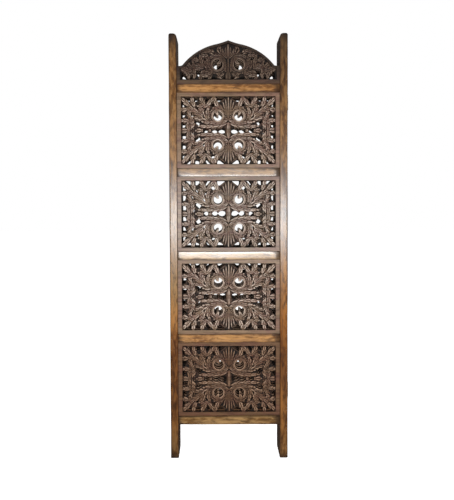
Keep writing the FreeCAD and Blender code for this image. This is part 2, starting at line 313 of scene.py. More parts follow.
def eye_height(places, ground, eye, height):
    """The rings round an eye and the leaf that curls into it, laid over the carving so far."""
    middle, radius, curl, half = eye
    to = places - np.array(middle)
    away = np.linalg.norm(to, axis=1)
    angle = np.arctan2(to[:, 1], to[:, 0])
    for stand_off, ring_half, rise, cuts in EYE_RINGS:
        across = away - radius - stand_off
        ring = ground * (1 - rise * (1 - RING_FALL * (across / ring_half) ** 2))
        ring -= RING_GROOVE * np.exp(-((across / MIDRIB_HALF) ** 2))
        if cuts:
            ring -= NOTCH_CUT * (1 - np.abs(np.sin(cuts / 2 * angle + away / NOTCH_TWIST)))
        height = np.maximum(height, np.where(np.abs(across) < RING_REACH * ring_half, ring, ground))
    share, across = along(places, bezier(*curl))
    off = np.abs(across) / np.maximum(curl_width(half, share), 0.1)
    slant = 2 * VEIN_SLANT * np.abs(across)
    vein = np.abs(np.sin(np.pi * (CURL_VEINS * share - slant))) ** CURL_POWER
    curled = CURL_FALL * ground * off**2 - MIDRIB_CUT * np.exp(-((across / MIDRIB_HALF) ** 2))
    curled -= FINE_CUT * (1 - vein) * np.clip(FINE_SLOPE * off - CUT_START, 0, 1)
    return np.where(off < CURL_REACH, np.maximum(height, curled), height)


def polygon_distance(places, points):
    """The distance to a polygon's edge, below zero inside it."""
    start = np.array(points, float)
    end = np.roll(start, -1, axis=0)
    edge = end - start
    to = places[:, None, :] - start[None]
    share = np.clip((to * edge).sum(2) / (edge**2).sum(1), 0, 1)
    distance = np.linalg.norm(to - share[..., None] * edge, axis=2).min(1)
    x, z = places.T
    inside = np.zeros(len(places), bool)
    for (x0, z0), (x1, z1) in zip(start, end):
        if z0 != z1:
            inside ^= ((z0 > z) != (z1 > z)) & (x < (x1 - x0) * (z - z0) / (z1 - z0) + x0)
    return np.where(inside, -distance, distance)


def hole_gap(places, holes, eye):
    """The distance to the nearest piercing, below zero inside one."""
    gap = np.full(len(places), NO_EDGE)
    for points in holes.values():
        gap = np.minimum(gap, polygon_distance(places, points) + HOLE_INSET)
    middle, radius, curl, half = eye
    round_gap = np.linalg.norm(places - np.array(middle), axis=1) - radius
    share, across = along(places, bezier(*curl))
    return np.minimum(gap, np.maximum(round_gap, curl_width(half, share) - np.abs(across)))


class Carving:
    """One carved pattern: where it is pierced, and how high its face stands over the plain face."""

    def __init__(self, leaves, holes, eye, depth, field_gap, outline_gap, outer):
        self.leaves = leaves
        self.holes = holes
        self.eye = eye
        self.ground = -depth
        self.field_gap = field_gap
        self.outline_gap = outline_gap
        self.outer = outer

    def gap(self, places):
        """The distance to the nearest edge of wood, below zero where there is none."""
        return np.minimum(hole_gap(places, self.holes, self.eye), self.outline_gap(places))

    def sheet_gap(self, places):
        """The distance to the nearest piercing or to the plain border."""
        return np.minimum(hole_gap(places, self.holes, self.eye), self.field_gap(places))

    def height(self, places):
        """How high the carved face stands over the plain face, never above it."""
        height = np.full(len(places), self.ground)
        for values in self.leaves.values():
            height = np.maximum(height, leaf_height(places, self.ground, *values))
        height = eye_height(places, self.ground, self.eye, height)
        field = np.clip(self.field_gap(places), 0, 1)
        height = height * field * field * (3 - 2 * field)
        holes = np.clip(hole_gap(places, self.holes, self.eye), 0, None)
        return height - RIM_DROP * np.exp(-((holes / RIM_REACH) ** 2))


# From a pattern to a mesh

BOARD_BOX = node_box("leaf_1_lower_jali")
HALF_BOARD = (BOARD_BOX[1] - BOARD_BOX[0]) / 2 / MM
# Half the height and half the width of an opening. A board sits this deep in its grooves.
HALF_OPENING = 160.0
SEAT = HALF_BOARD[2] - HALF_OPENING
OPENING_HALF = HALF_BOARD[0] - SEAT
# The plain border at a board's sides and at its top and bottom.
BORDER_SIDE = 16.0
BORDER_END = 15.0
FIELD_SIDE = OPENING_HALF - BORDER_SIDE
FIELD_END = HALF_OPENING - BORDER_END

# The arch: its foot on the top rail, in metres, then its outline and borders.
ARCH_FOOT = node_box("leaf_1_top_rail")[1][2]
ARCH_RISE = node_box("leaf_1_arch_jali")[1][2] / MM - ARCH_FOOT / MM
ARCH_SHOULDER = 76.0
ARCH_SPRING = OPENING_HALF - 21.0
KEEL_RISE = 11.0
KEEL_HALF = 55.0
KEEL_SAG = 1.5
ARCH_BORDER = 17.0
ARCH_RIM = 9.0
ARCH_FIELD_SIDE = FIELD_SIDE + 4.0
# A vertex this near the line between border and field lies on that line.
ON_LINE = 0.6


def arch_edge(x):
    """The height of the arch's top edge over its foot: level shoulders, a round, and a small keel point."""
    crown = ARCH_RISE - KEEL_RISE
    centre = (crown**2 - ARCH_SHOULDER**2 - ARCH_SPRING**2) / (2 * (crown - ARCH_SHOULDER))
    radius = crown - centre
    x = np.abs(x)
    on_round = centre + np.sqrt(radius**2 - np.clip(x, 0, ARCH_SPRING) ** 2)
    keel_foot = centre + math.sqrt(radius**2 - KEEL_HALF**2)
    share = np.clip(x / KEEL_HALF, 0, 1)
    on_keel = ARCH_RISE + (keel_foot - ARCH_RISE) * share - 4 * KEEL_SAG * share * (1 - share)
    return np.where(x > ARCH_SPRING, ARCH_SHOULDER, np.where(x < KEEL_HALF, on_keel, on_round))


# A distance past every edge, and the arch's outline as a polygon that reaches that far.
FAR = 300.0
OUTLINE_POINTS = 70
ARCH_SPAN = np.append(np.linspace(-KEEL_HALF, ARCH_SPRING, OUTLINE_POINTS), FAR)
ARCH_OUTLINE = [*zip(ARCH_SPAN, arch_edge(ARCH_SPAN)), (FAR, -FAR), (-KEEL_HALF, -FAR)]


def arch_outline_gap(places):
    """The distance to the arch's edge, below zero outside it."""
    return -polygon_distance(places, ARCH_OUTLINE)


def arch_field_gap(places):
    """The distance to the line round the arch's carved field, below zero on the border."""
    x, z = places.T
    side = ARCH_FIELD_SIDE - np.abs(x)
    return np.minimum(np.minimum(arch_outline_gap(places) - ARCH_RIM, z - ARCH_BORDER), side)


def board_outline_gap(places):
    """A board has no edge inside its opening."""
    return np.full(len(places), NO_EDGE)


def board_field_gap(places):
    """The distance to the line round a board's carved field, below zero on the border."""
    x, z = np.abs(places).T
    return np.minimum(FIELD_SIDE - x, FIELD_END - z)


def board_outer(places):
    """The place on a board's edge for each place on the line round its field."""
    return places * (HALF_BOARD[0] / FIELD_SIDE, HALF_BOARD[2] / FIELD_END)


def arch_outer(places):
    """The place on the arch's edge for each place on the line round its field."""
    x, z = places.T
    at_foot = z < ARCH_BORDER + ON_LINE
    at_side = np.abs(x) > ARCH_FIELD_SIDE - ON_LINE
    wide = x * HALF_BOARD[0] / ARCH_FIELD_SIDE
    for spring in (-ARCH_SPRING, ARCH_SPRING):
        wide[np.argmin(np.abs(wide - spring) + FAR * (at_foot | at_side))] = spring
    side_z = np.interp(z, (ARCH_BORDER, ARCH_SHOULDER - ARCH_RIM), (-SEAT, ARCH_SHOULDER))
    tall = np.where(at_foot, -SEAT, np.where(at_side, side_z, arch_edge(wide)))
    return np.stack([wide, tall], axis=1)


SLOPE_STEP = 0.05


def level(places, gap):
    """A gap and its slope, both ways, at each place."""
    across = (gap(places + (SLOPE_STEP, 0)) - gap(places - (SLOPE_STEP, 0))) / (2 * SLOPE_STEP)
    up = (gap(places + (0, SLOPE_STEP)) - gap(places - (0, SLOPE_STEP))) / (2 * SLOPE_STEP)
    return gap(places), np.stack([across, up], axis=1)


# Points this near an edge, in pitches, are drawn onto it in a few rounds of short moves.
DRAWN_REACH = 0.72
DRAWN_ROUNDS = 3
DRAWN_STEP = 0.5
LEAST_SLOPE = 0.2


def carved_sheet(carving, width, low, high, pitch):
    """The carved face from x = 0 to width and z = low to high, as a mesh with its piercings open."""
    bm = bmesh.new()
    columns = round(width / pitch)
    rows = round((high - low) / pitch)
    bmesh.ops.create_grid(bm, x_segments=columns, y_segments=rows, size=0.5)
    bmesh.ops.triangulate(bm, faces=bm.faces)
    bm.verts.ensure_lookup_table()
    places = np.array([v.co[:2] for v in bm.verts]) + 0.5
    places = places * (width, high - low) + (0, low)
    fixed = np.stack([(places[:, 0] < TINY) | (places[:, 0] > width - TINY),
                      (places[:, 1] < low + TINY) | (places[:, 1] > high - TINY)], axis=1)
    near = np.flatnonzero(np.abs(carving.sheet_gap(places)) < DRAWN_REACH * pitch)
    for _ in range(DRAWN_ROUNDS):
        gap, slope = level(places[near], carving.sheet_gap)
        move = -gap[:, None] * slope / np.maximum((slope**2).sum(1), LEAST_SLOPE)[:, None]
        length = np.linalg.norm(move, axis=1)[:, None]
        move *= np.minimum(1, DRAWN_STEP * pitch / np.maximum(length, TINY))
        places[near] += np.where(fixed[near], 0, move)
    middles = np.array([np.mean([places[v.index] for v in face.verts], axis=0) for face in bm.faces])
    gone = carving.sheet_gap(middles) < 0
    faces = list(bm.faces)
    height = carving.height(places)
    for vert, (x, z), rise in zip(bm.verts, places, height):
        vert.co = (x * MM, -(HALF_BOARD[1] + rise) * MM, z * MM)
    bmesh.ops.delete(bm, geom=[face for face, out in zip(faces, gone) if out], context="FACES")
    return bm


# How near each other two vertices are one, and how near a plane a vertex lies on it, in metres.
MERGED = 1e-6
ON_SEAM = 1e-7
NEAR = 1e-5


def corners(made):
    """The vertices among the parts that a bmesh operator made."""
    return [part for part in made if isinstance(part, bmesh.types.BMVert)]


def mirror_across(bm, axis):
    """Add the mirror image across the plane through the origin and join both along it."""
    found = bmesh.ops.duplicate(bm, geom=bm.verts[:] + bm.edges[:] + bm.faces[:])["geom"]
    flip = Vector((1, 1, 1))
    flip[axis] = -1
    bmesh.ops.scale(bm, vec=flip, verts=corners(found))
    bmesh.ops.reverse_faces(bm, faces=[part for part in found if isinstance(part, bmesh.types.BMFace)])
    seam = [vert for vert in bm.verts if abs(vert.co[axis]) < ON_SEAM]
    bmesh.ops.remove_doubles(bm, verts=seam, dist=MERGED)


def modified(mesh, title, kind, **values):
    """A mesh as one modifier leaves it. The old mesh is removed."""
    holder = bpy.data.objects.new(mesh.name, mesh)
    bpy.context.scene.collection.objects.link(holder)
    modifier = holder.modifiers.new(title, kind)
    for key, value in values.items():
        setattr(modifier, key, value)
    finished = holder.evaluated_get(bpy.context.evaluated_depsgraph_get())
    shaped = bpy.data.meshes.new_from_object(finished)
    bpy.data.objects.remove(holder)
    bpy.data.meshes.remove(mesh)
    return shaped


def smooth_shaded(mesh, sharpest, line=None):
    """Shade a mesh smoothly, with its large faces flat and its edges sharp past an angle in degrees.

    Edges between two vertices that line marks are sharp too.
    """
    mesh.shade_smooth()
    mesh.set_sharp_from_angle(angle=math.radians(sharpest))
    if line is not None:
        ends = np.empty(2 * len(mesh.edges), np.int32)
        mesh.edges.foreach_get("vertices", ends)
        sharp = np.empty(len(mesh.edges), bool)
        mesh.edges.foreach_get("use_edge_sharp", sharp)
        mesh.edges.foreach_set("use_edge_sharp", sharp | line[ends.reshape(-1, 2)].all(axis=1))
    return modified(mesh, "Flat faces", "WEIGHTED_NORMAL", keep_sharp=True)


def thinned(bm, share):
    """The same mesh with a share of its triangles, fewest where it is flat."""
    mesh = bpy.data.meshes.new("sheet")
    bm.to_mesh(mesh)
    shaped = modified(mesh, "Fewer faces", "DECIMATE", ratio=share)
    bm.clear()
    bm.from_mesh(shaped)
    bpy.data.meshes.remove(shaped)
    return bm


def flat_places(co, kind):
    """Vertices as places in a carving's pattern, in millimetres."""
    places = co[:, [0, 2]] / MM
    places[:, 0] = np.abs(places[:, 0])
    return np.abs(places) if kind == "board" else places


def bordered(bm, carving, kind):
    """Widen a carved face by the plain border, in one plane, out to the board's edge."""
    rim = [vert for vert in bm.verts if vert.is_boundary]
    places = flat_places(np.array([vert.co for vert in rim]), kind)
    line = {vert for vert, gap in zip(rim, carving.field_gap(places)) if gap < ON_LINE}
    for vert in line:
        vert.co.y = -HALF_BOARD[1] * MM
    edges = [edge for edge in bm.edges if edge.is_boundary and all(vert in line for vert in edge.verts)]
    made = bmesh.ops.extrude_edge_only(bm, edges=edges)["geom"]
    verts = corners(made)
    outer = carving.outer(np.array([vert.co for vert in verts])[:, [0, 2]] / MM)
    for vert, (x, z) in zip(verts, outer):
        vert.co.x = x * MM
        vert.co.z = z * MM
    return bm


def cleaned(bm):
    """Drop faces without area and loose ends, and part faces that touch in one point only."""
    bmesh.ops.dissolve_degenerate(bm, edges=bm.edges, dist=MERGED)
    bmesh.ops.delete(bm, geom=[edge for edge in bm.edges if not edge.link_faces], context="EDGES")
    bmesh.ops.delete(bm, geom=[vert for vert in bm.verts if not vert.link_faces], context="VERTS")
    for vert in [v for v in bm.verts if sum(edge.is_boundary for edge in v.link_edges) > 2]:
        bmesh.utils.vert_separate(vert, [])


# A board's edges past this angle, in degrees, are shaded sharp.
BOARD_SHARP = 50


def closed_board(bm, carving, kind):
    """Give a carved face walls down to the board's middle and the same carving behind."""
    cleaned(bm)
    walls = bmesh.ops.extrude_edge_only(bm, edges=[edge for edge in bm.edges if edge.is_boundary])["geom"]
    for vert in corners(walls):
        vert.co.y = 0
    mirror_across(bm, 1)
    bmesh.ops.recalc_face_normals(bm, faces=bm.faces)
    mesh = bpy.data.meshes.new("board")
    bm.to_mesh(mesh)
    bm.free()
    border = carving.field_gap(flat_places(coordinates(mesh), kind)) < ON_LINE
    return smooth_shaded(mesh, BOARD_SHARP, border)


def coordinates(mesh):
    """A mesh's vertices as rows of numbers."""
    co = np.empty(3 * len(mesh.vertices), np.float32)
    mesh.vertices.foreach_get("co", co)
    return co.reshape(-1, 3).astype(float)


def set_coordinates(mesh, co):
    mesh.vertices.foreach_set("co", co.astype(np.float32).ravel())
    mesh.update()


def add_number(mesh, name, values):
    mesh.attributes.new(name, "FLOAT", "POINT").data.foreach_set("value", values.astype(np.float32))


def add_vector(mesh, name, values):
    data = mesh.attributes.new(name, "FLOAT_VECTOR", "POINT").data
    data.foreach_set("vector", values.astype(np.float32).ravel())


def smoothed(grid, reach):
    """A grid blurred both ways by a triangular weight that reaches the given count of cells."""
    weight = np.minimum(np.arange(1, 2 * reach), np.arange(2 * reach - 1, 0, -1)).astype(float)
    weight /= weight.sum()
    for axis in (0, 1):
        pads = [(0, 0), (0, 0)]
        pads[axis] = (reach - 1, reach - 1)
        wide = np.pad(grid, pads, mode="edge")
        grid = np.apply_along_axis(lambda line: np.convolve(line, weight, "valid"), axis, wide)
    return grid


# The relief is sampled at this pitch, and this far past a board's middle line, with each piercing as a pit.
SAMPLE_PITCH = 1.0
SAMPLE_LAP = 20.0
PIT = 2
# What tells a ridge from a cut, for the stain and painted shade in cuts and the wear and painted highlight on
# ridges: how far a point lies under its near and wider surroundings, and how deep.
NEAR_REACH = 4
WIDE_REACH = 9
NEAR_SHARE = 0.6
WIDE_SHARE = 0.4
PLAIN_VALUE = 0.47
HOLLOW_WEIGHT = 0.38
DEPTH_WEIGHT = 0.035


def cut_depth(carving, low, high, width, co):
    """How deep each vertex lies in the carving: 0 on a ridge, 0.5 on plain wood, 1 in a cut."""
    x = np.arange(-SAMPLE_LAP, width + SAMPLE_PITCH, SAMPLE_PITCH)
    z = np.arange(low - SAMPLE_LAP, high + SAMPLE_PITCH, SAMPLE_PITCH)
    grid_x, grid_z = np.meshgrid(x, z)
    mirrored_z = np.abs(grid_z) if low == 0 else np.maximum(grid_z, low)
    places = np.stack([np.abs(grid_x).ravel(), mirrored_z.ravel()], axis=1)
    height = np.where(carving.gap(places) < 0, carving.ground - PIT, carving.height(places))
    height = height.reshape(grid_x.shape)
    hollow = NEAR_SHARE * (smoothed(height, NEAR_REACH) - height)
    hollow = hollow + WIDE_SHARE * (smoothed(height, WIDE_REACH) - height)
    value = np.clip(PLAIN_VALUE + HOLLOW_WEIGHT * hollow - DEPTH_WEIGHT * height, 0, 1)
    up = np.abs(co[:, 2]) if low == 0 else co[:, 2]
    column = np.clip((np.abs(co[:, 0]) / MM - x[0]) / SAMPLE_PITCH, 0, len(x) - 2)
    row = np.clip((up / MM - z[0]) / SAMPLE_PITCH, 0, len(z) - 2)
    left = column.astype(int)
    under = row.astype(int)
    aside = column - left
    over = row - under
    lower = value[under, left] * (1 - aside) + value[under, left + 1] * aside
    upper = value[under + 1, left] * (1 - aside) + value[under + 1, left + 1] * aside
    # Vertices on the board's middle plane, at the walls of the piercings, count as fully cut: painted shade
    # on the walls.
    return np.where(np.abs(co[:, 1]) < MERGED, 1.0, lower * (1 - over) + upper * over)


# Unevenness is the sum of this many waves, each as long as one wave times a number from this range.
WAVES = 7
WAVE_RANGE = (0.6, 1.6)
WAVE_SUM = 3


def wander(places, seed, wave, amount):
    """A smooth unevenness: one value per place, from a few waves of random heading and length."""
    rng = np.random.default_rng(seed)
    total = np.zeros(len(places))
    for _ in range(WAVES):
        heading = rng.normal(size=3)
        heading /= np.linalg.norm(heading)
        length = wave * rng.uniform(*WAVE_RANGE)
        total += np.sin(places @ heading * (2 * math.pi / length) + rng.uniform(0, 2 * math.pi))
    return amount * total / WAVE_SUM


def place_piece(mesh, name, nodes, body, material):
    """Link a mesh as a piece that stands for some solids, moves with a body and takes a slot's finish."""
    piece = bpy.data.objects.new(name, mesh)
    bpy.context.scene.collection.objects.link(piece)
    mesh.materials.clear()
    mesh.materials.append(bpy.data.materials[material])
    if nodes:
        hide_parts(*nodes)
    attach(piece, body)


# Sizes and colours that a user would change

class CarvingSettings(bpy.types.PropertyGroup):
    depth: FloatProperty(name="Carving depth", description="How deep the ground lies under the plain face",
                         default=5.0 * MM, unit="LENGTH")
    pitch: FloatProperty(name="Mesh pitch", description="The distance between points before thinning",
                         default=1.25 * MM, unit="LENGTH")
    kept: FloatProperty(name="Share kept", description="The share of a board's triangles that is kept",
                        default=0.37, subtype="FACTOR")
    unevenness: FloatProperty(name="Hand unevenness", description="How far the hand cut pattern strays",
                              default=0.7 * MM, unit="LENGTH")
    # Ridge is the colour of rubbed wear and of a painted highlight on the ridges.
    ridge: FloatVectorProperty(name="Ridge", description="The rubbed colour of ridges", subtype="COLOR",
                               default=(0.68, 0.55, 0.45))
    face: FloatVectorProperty(name="Face", description="The colour of the carved leaves", subtype="COLOR",
                              default=(0.148, 0.095, 0.067))
    # Cut is the colour of dark stain and of painted shade in the cuts.
    cut: FloatVectorProperty(name="Cut", description="The colour in the cuts", subtype="COLOR",
                             default=(0.005, 0.003, 0.002))
    border: FloatVectorProperty(name="Border", description="The plain wood round a carving", subtype="COLOR",
                                default=(0.2, 0.135, 0.095))


class FrameSettings(bpy.types.PropertyGroup):
    edge_round: FloatProperty(name="Post edge", description="Radius of the posts' long edges",
                              default=3.6 * MM, unit="LENGTH")
    rail_edge: FloatProperty(name="Rail edge", description="Radius of the rails' long edges",
                             default=2.2 * MM, unit="LENGTH")
    unevenness: FloatProperty(name="Unevenness", description="How far planed faces stray from true",
                              default=0.3 * MM, unit="LENGTH")
    light: FloatVectorProperty(name="Light", description="The golden part of the wood", subtype="COLOR",
                               default=(0.5, 0.225, 0.055))
    honey: FloatVectorProperty(name="Honey", description="The middle tone of golden pieces", subtype="COLOR",
                               default=(0.26, 0.098, 0.018))
    pale: FloatVectorProperty(name="Pale", description="The light tone of brown pieces", subtype="COLOR",
                              default=(0.36, 0.205, 0.085))
    middle: FloatVectorProperty(name="Middle", description="The middle tone of brown pieces",
                                subtype="COLOR", default=(0.165, 0.078, 0.026))
    # Dark also colours the dirt and the painted shade on the bars' edges, ends and inner faces.
    dark: FloatVectorProperty(name="Dark", description="The pores and dirt of the wood", subtype="COLOR",
                              default=(0.026, 0.011, 0.005))


class HingeSettings(bpy.types.PropertyGroup):
    screws: IntProperty(name="Screws", description="Wood screws in each hinge plate", default=3)
    head: FloatProperty(name="Screw head", description="Diameter of a screw head",
                        default=6.4 * MM, unit="LENGTH")
    brass: FloatVectorProperty(name="Brass", description="The colour of bright brass", subtype="COLOR",
                               default=(0.52, 0.38, 0.17))
    tarnish: FloatVectorProperty(name="Tarnish", description="The colour of aged brass", subtype="COLOR",
                                 default=(0.2, 0.135, 0.065))
    screw_brown: FloatVectorProperty(name="Screw brown", description="The darkest colour of the screws",
                                     subtype="COLOR", default=(0.07, 0.048, 0.028))


class StageSettings(bpy.types.PropertyGroup):
    front_lamp: FloatProperty(name="Front lamp", description="Power of the soft lamp beside the camera",
                              default=35.0, unit="POWER")
    high_lamp: FloatProperty(name="High lamp", description="Power of the wide lamp above",
                             default=18.0, unit="POWER")
    back_lamp: FloatProperty(name="Back lamp", description="Power of the soft lamp behind",
                             default=26.0, unit="POWER")
    room: FloatProperty(name="Room light", description="Strength of the even light from all round",
                        default=0.25)


SETTINGS = {
    "jali_carving": CarvingSettings,
    "jali_frame": FrameSettings,
    "jali_hinges": HingeSettings,
    "jali_stage": StageSettings,
}


# Materials

def add_node(tree, kind, inputs=None, **values):
    """Add a node, set its values, and set or link its inputs."""
    made = tree.nodes.new(kind)
    for key, value in values.items():
        setattr(made, key, value)
    for key, value in (inputs or {}).items():
        if isinstance(value, bpy.types.NodeSocket):
            tree.links.new(value, made.inputs[key])
        else:
            made.inputs[key].default_value = value
    return made


def colour(values):
    """Red, green and blue as an opaque colour."""
    return (*values, 1.0)


def mixed(tree, factor, first, second):
    """The colour between two colours, by a factor."""
    return add_node(tree, "ShaderNodeMix", {0: factor, 6: first, 7: second}, data_type="RGBA").outputs[2]


def ranged(tree, value, low, high, to_low=0.0, to_high=1.0):
    """A value taken from one range to another, smoothly and no further."""
    return add_node(tree, "ShaderNodeMapRange", {
        "Value": value, "From Min": low, "From Max": high, "To Min": to_low, "To Max": to_high,
    }, interpolation_type="SMOOTHSTEP").outputs["Result"]


def counted(tree, operation, first, second):
    """The result of one operation on two values."""
    return add_node(tree, "ShaderNodeMath", {0: first, 1: second}, operation=operation).outputs[0]


def group_tree(name, inputs, outputs):
    """A shader node group with named sockets: (name, kind, default) going in, (name, kind) coming out."""
    tree = bpy.data.node_groups.new(name, "ShaderNodeTree")
    for title, kind, default in inputs:
        socket = tree.interface.new_socket(title, in_out="INPUT", socket_type="NodeSocket" + kind)
        if default is not None:
            socket.default_value = default
    for title, kind in outputs:
        tree.interface.new_socket(title, in_out="OUTPUT", socket_type="NodeSocket" + kind)
    return tree, tree.nodes.new("NodeGroupInput"), tree.nodes.new("NodeGroupOutput")


def scaled(tree, place, scale):
    """A place, or a colour, times three numbers."""
    return add_node(tree, "ShaderNodeVectorMath", {0: place, 1: scale}, operation="MULTIPLY").outputs[0]


def noise(tree, place, scale, detail, roughness=0.5, distortion=0.0):
    """Clouds of values round a half."""
    return add_node(tree, "ShaderNodeTexNoise", {"Vector": place, "Scale": scale, "Detail": detail,
                                                 "Roughness": roughness, "Distortion": distortion}).outputs[0]


# How much the wood's pattern is drawn out along the grain, in bands and pores and in broad patches.
GRAIN_STRETCH = (1.0, 1.0, 0.055)
PATCH_STRETCH = (1.0, 1.0, 0.3)


def wood_grain_group():
    """Streaks, pores and broad patches of wood whose grain runs along the third part of Place."""
    tree, into, out = group_tree("Wood Grain", [
        ("Place", "Vector", None), ("Light", "Color", colour((0.4, 0.2, 0.1))),
        ("Middle", "Color", colour((0.2, 0.1, 0.05))), ("Dark", "Color", colour((0.05, 0.03, 0.02))),
        ("Pores", "Float", 0.5), ("Spots", "Float", 0.3),
    ], [("Colour", "Color"), ("Height", "Float"), ("Streak", "Float")])
    light, dark = into.outputs["Light"], into.outputs["Dark"]
    along_grain = scaled(tree, into.outputs["Place"], GRAIN_STRETCH)
    patch_place = scaled(tree, into.outputs["Place"], PATCH_STRETCH)
    patches = noise(tree, patch_place, scale=24.0, detail=3.0, roughness=0.55, distortion=0.5)
    mottle = noise(tree, patch_place, scale=80.0, detail=4.0, roughness=0.6, distortion=0.5)
    bands = noise(tree, along_grain, scale=95.0, detail=4.0, roughness=0.55, distortion=0.9)
    pores = noise(tree, along_grain, scale=520.0, detail=3.0, roughness=0.6)
    broad = mixed(tree, ranged(tree, patches, 0.4, 0.6), into.outputs["Middle"], light)
    golden = mixed(tree, ranged(tree, mottle, 0.52, 0.4, 0.0, 0.7), broad, light)
    spot = counted(tree, "MULTIPLY", ranged(tree, mottle, 0.48, 0.7), into.outputs["Spots"])
    spotted = mixed(tree, spot, golden, dark)
    banded = mixed(tree, ranged(tree, bands, 0.42, 0.7, 0.0, 0.42), spotted, dark)
    pore = ranged(tree, pores, 0.55, 0.72)
    pored = mixed(tree, counted(tree, "MULTIPLY", pore, into.outputs["Pores"]), banded, dark)
    tree.links.new(pored, out.inputs["Colour"])
    tree.links.new(counted(tree, "SUBTRACT", bands, pore), out.inputs["Height"])
    tree.links.new(bands, out.inputs["Streak"])


def wear_and_painted_light_group():
    """Rub a surface pale as wear and painted highlight, and darken it as dirt and painted shade, where its
    two factors are high, broken up by noise.
    """
    # The rubbed colour serves for wear and painted highlight, the dirt colour for dirt and painted shade.
    tree, into, out = group_tree("Wear And Dirt", [
        ("Place", "Vector", None), ("Base", "Color", colour((0.3, 0.2, 0.1))),
        ("Rubbed", "Color", colour((0.5, 0.4, 0.3))), ("Dirt", "Color", colour((0.03, 0.02, 0.015))),
        ("Worn", "Float", 0.0), ("Sheltered", "Float", 0.0), ("Scale", "Float", 60.0),
    ], [("Colour", "Color")])
    broken = noise(tree, into.outputs["Place"], into.outputs["Scale"], detail=5.0, roughness=0.65)
    patchy = ranged(tree, broken, 0.34, 0.58, 0.5, 1.0)
    rubbed = counted(tree, "MULTIPLY", into.outputs["Worn"], patchy)
    stuck = ranged(tree, broken, 0.3, 0.6, 0.8, 1.0)
    shade_and_dirt = counted(tree, "MULTIPLY", into.outputs["Sheltered"], stuck)
    pale = mixed(tree, rubbed, into.outputs["Base"], into.outputs["Rubbed"])
    tree.links.new(mixed(tree, shade_and_dirt, pale, into.outputs["Dirt"]), out.inputs["Colour"])


def place_group(tree, name, inputs):
    """Put a node group in a material. Returns its outputs."""
    return add_node(tree, "ShaderNodeGroup", inputs, node_tree=bpy.data.node_groups[name]).outputs


def attribute(tree, name, output):
    """A value that a piece's own mesh holds."""
    return add_node(tree, "ShaderNodeAttribute", attribute_name=name).outputs[output]


def new_material(name):
    """A material of one shader. Returns its nodes and the shader."""
    material = bpy.data.materials.new(name)
    material.use_nodes = True
    tree = material.node_tree
    tree.nodes.clear()
    shader = tree.nodes.new("ShaderNodeBsdfPrincipled")
    end = tree.nodes.new("ShaderNodeOutputMaterial")
    tree.links.new(shader.outputs[0], end.inputs[0])
    return tree, shader


def bumped(tree, height, strength, distance):
    """The normal of a surface that stands out by a height."""
    inputs = {"Height": height, "Strength": strength, "Distance": distance}
    return add_node(tree, "ShaderNodeBump", inputs).outputs[0]


def frame_wood(settings):
    """Lacquered hardwood: golden and red brown patches, dark pores, and dirt and painted shade along edges
    and ends and on the posts' inner faces.
    """
    tree, shader = new_material("lacquered_wood")
    place = attribute(tree, "grain_place", "Vector")
    gold = attribute(tree, "gold", "Fac")
    grain = place_group(tree, "Wood Grain", {
        "Place": place, "Light": mixed(tree, gold, colour(settings.pale), colour(settings.light)),
        "Middle": mixed(tree, gold, colour(settings.middle), colour(settings.honey)),
        "Dark": colour(settings.dark), "Pores": 0.6, "Spots": 0.65,
    })
    # Edge holds where dirt and painted shade darken the wood.
    edge = attribute(tree, "edge", "Fac")
    with_wear_and_painted_light = place_group(tree, "Wear And Dirt", {
        "Place": place, "Base": grain["Colour"], "Dirt": colour(settings.dark),
        "Sheltered": ranged(tree, edge, 0.25, 1.0), "Scale": 40.0,
    })
    toned = scaled(tree, with_wear_and_painted_light["Colour"], attribute(tree, "tone", "Vector"))
    tree.links.new(toned, shader.inputs["Base Color"])
    gloss = ranged(tree, grain["Streak"], 0.35, 0.65, 0.2, 0.32)
    dull = ranged(tree, edge, 0.5, 1.0)
    tree.links.new(counted(tree, "MAXIMUM", gloss, dull), shader.inputs["Roughness"])
    tree.links.new(bumped(tree, grain["Height"], 0.4, 0.12 * MM), shader.inputs["Normal"])
    shader.inputs["Specular IOR Level"].default_value = 0.16
    clean = ranged(tree, edge, 0.6, 0.95, 1.0, 0.0)
    coat = counted(tree, "MULTIPLY", attribute(tree, "lacquer", "Fac"), clean)
    streaky = ranged(tree, grain["Streak"], 0.35, 0.65, 0.7, 1.0)
    tree.links.new(counted(tree, "MULTIPLY", coat, streaky), shader.inputs["Coat Weight"])
    shader.inputs["Coat Roughness"].default_value = 0.26
    shader.inputs["Coat IOR"].default_value = 1.8


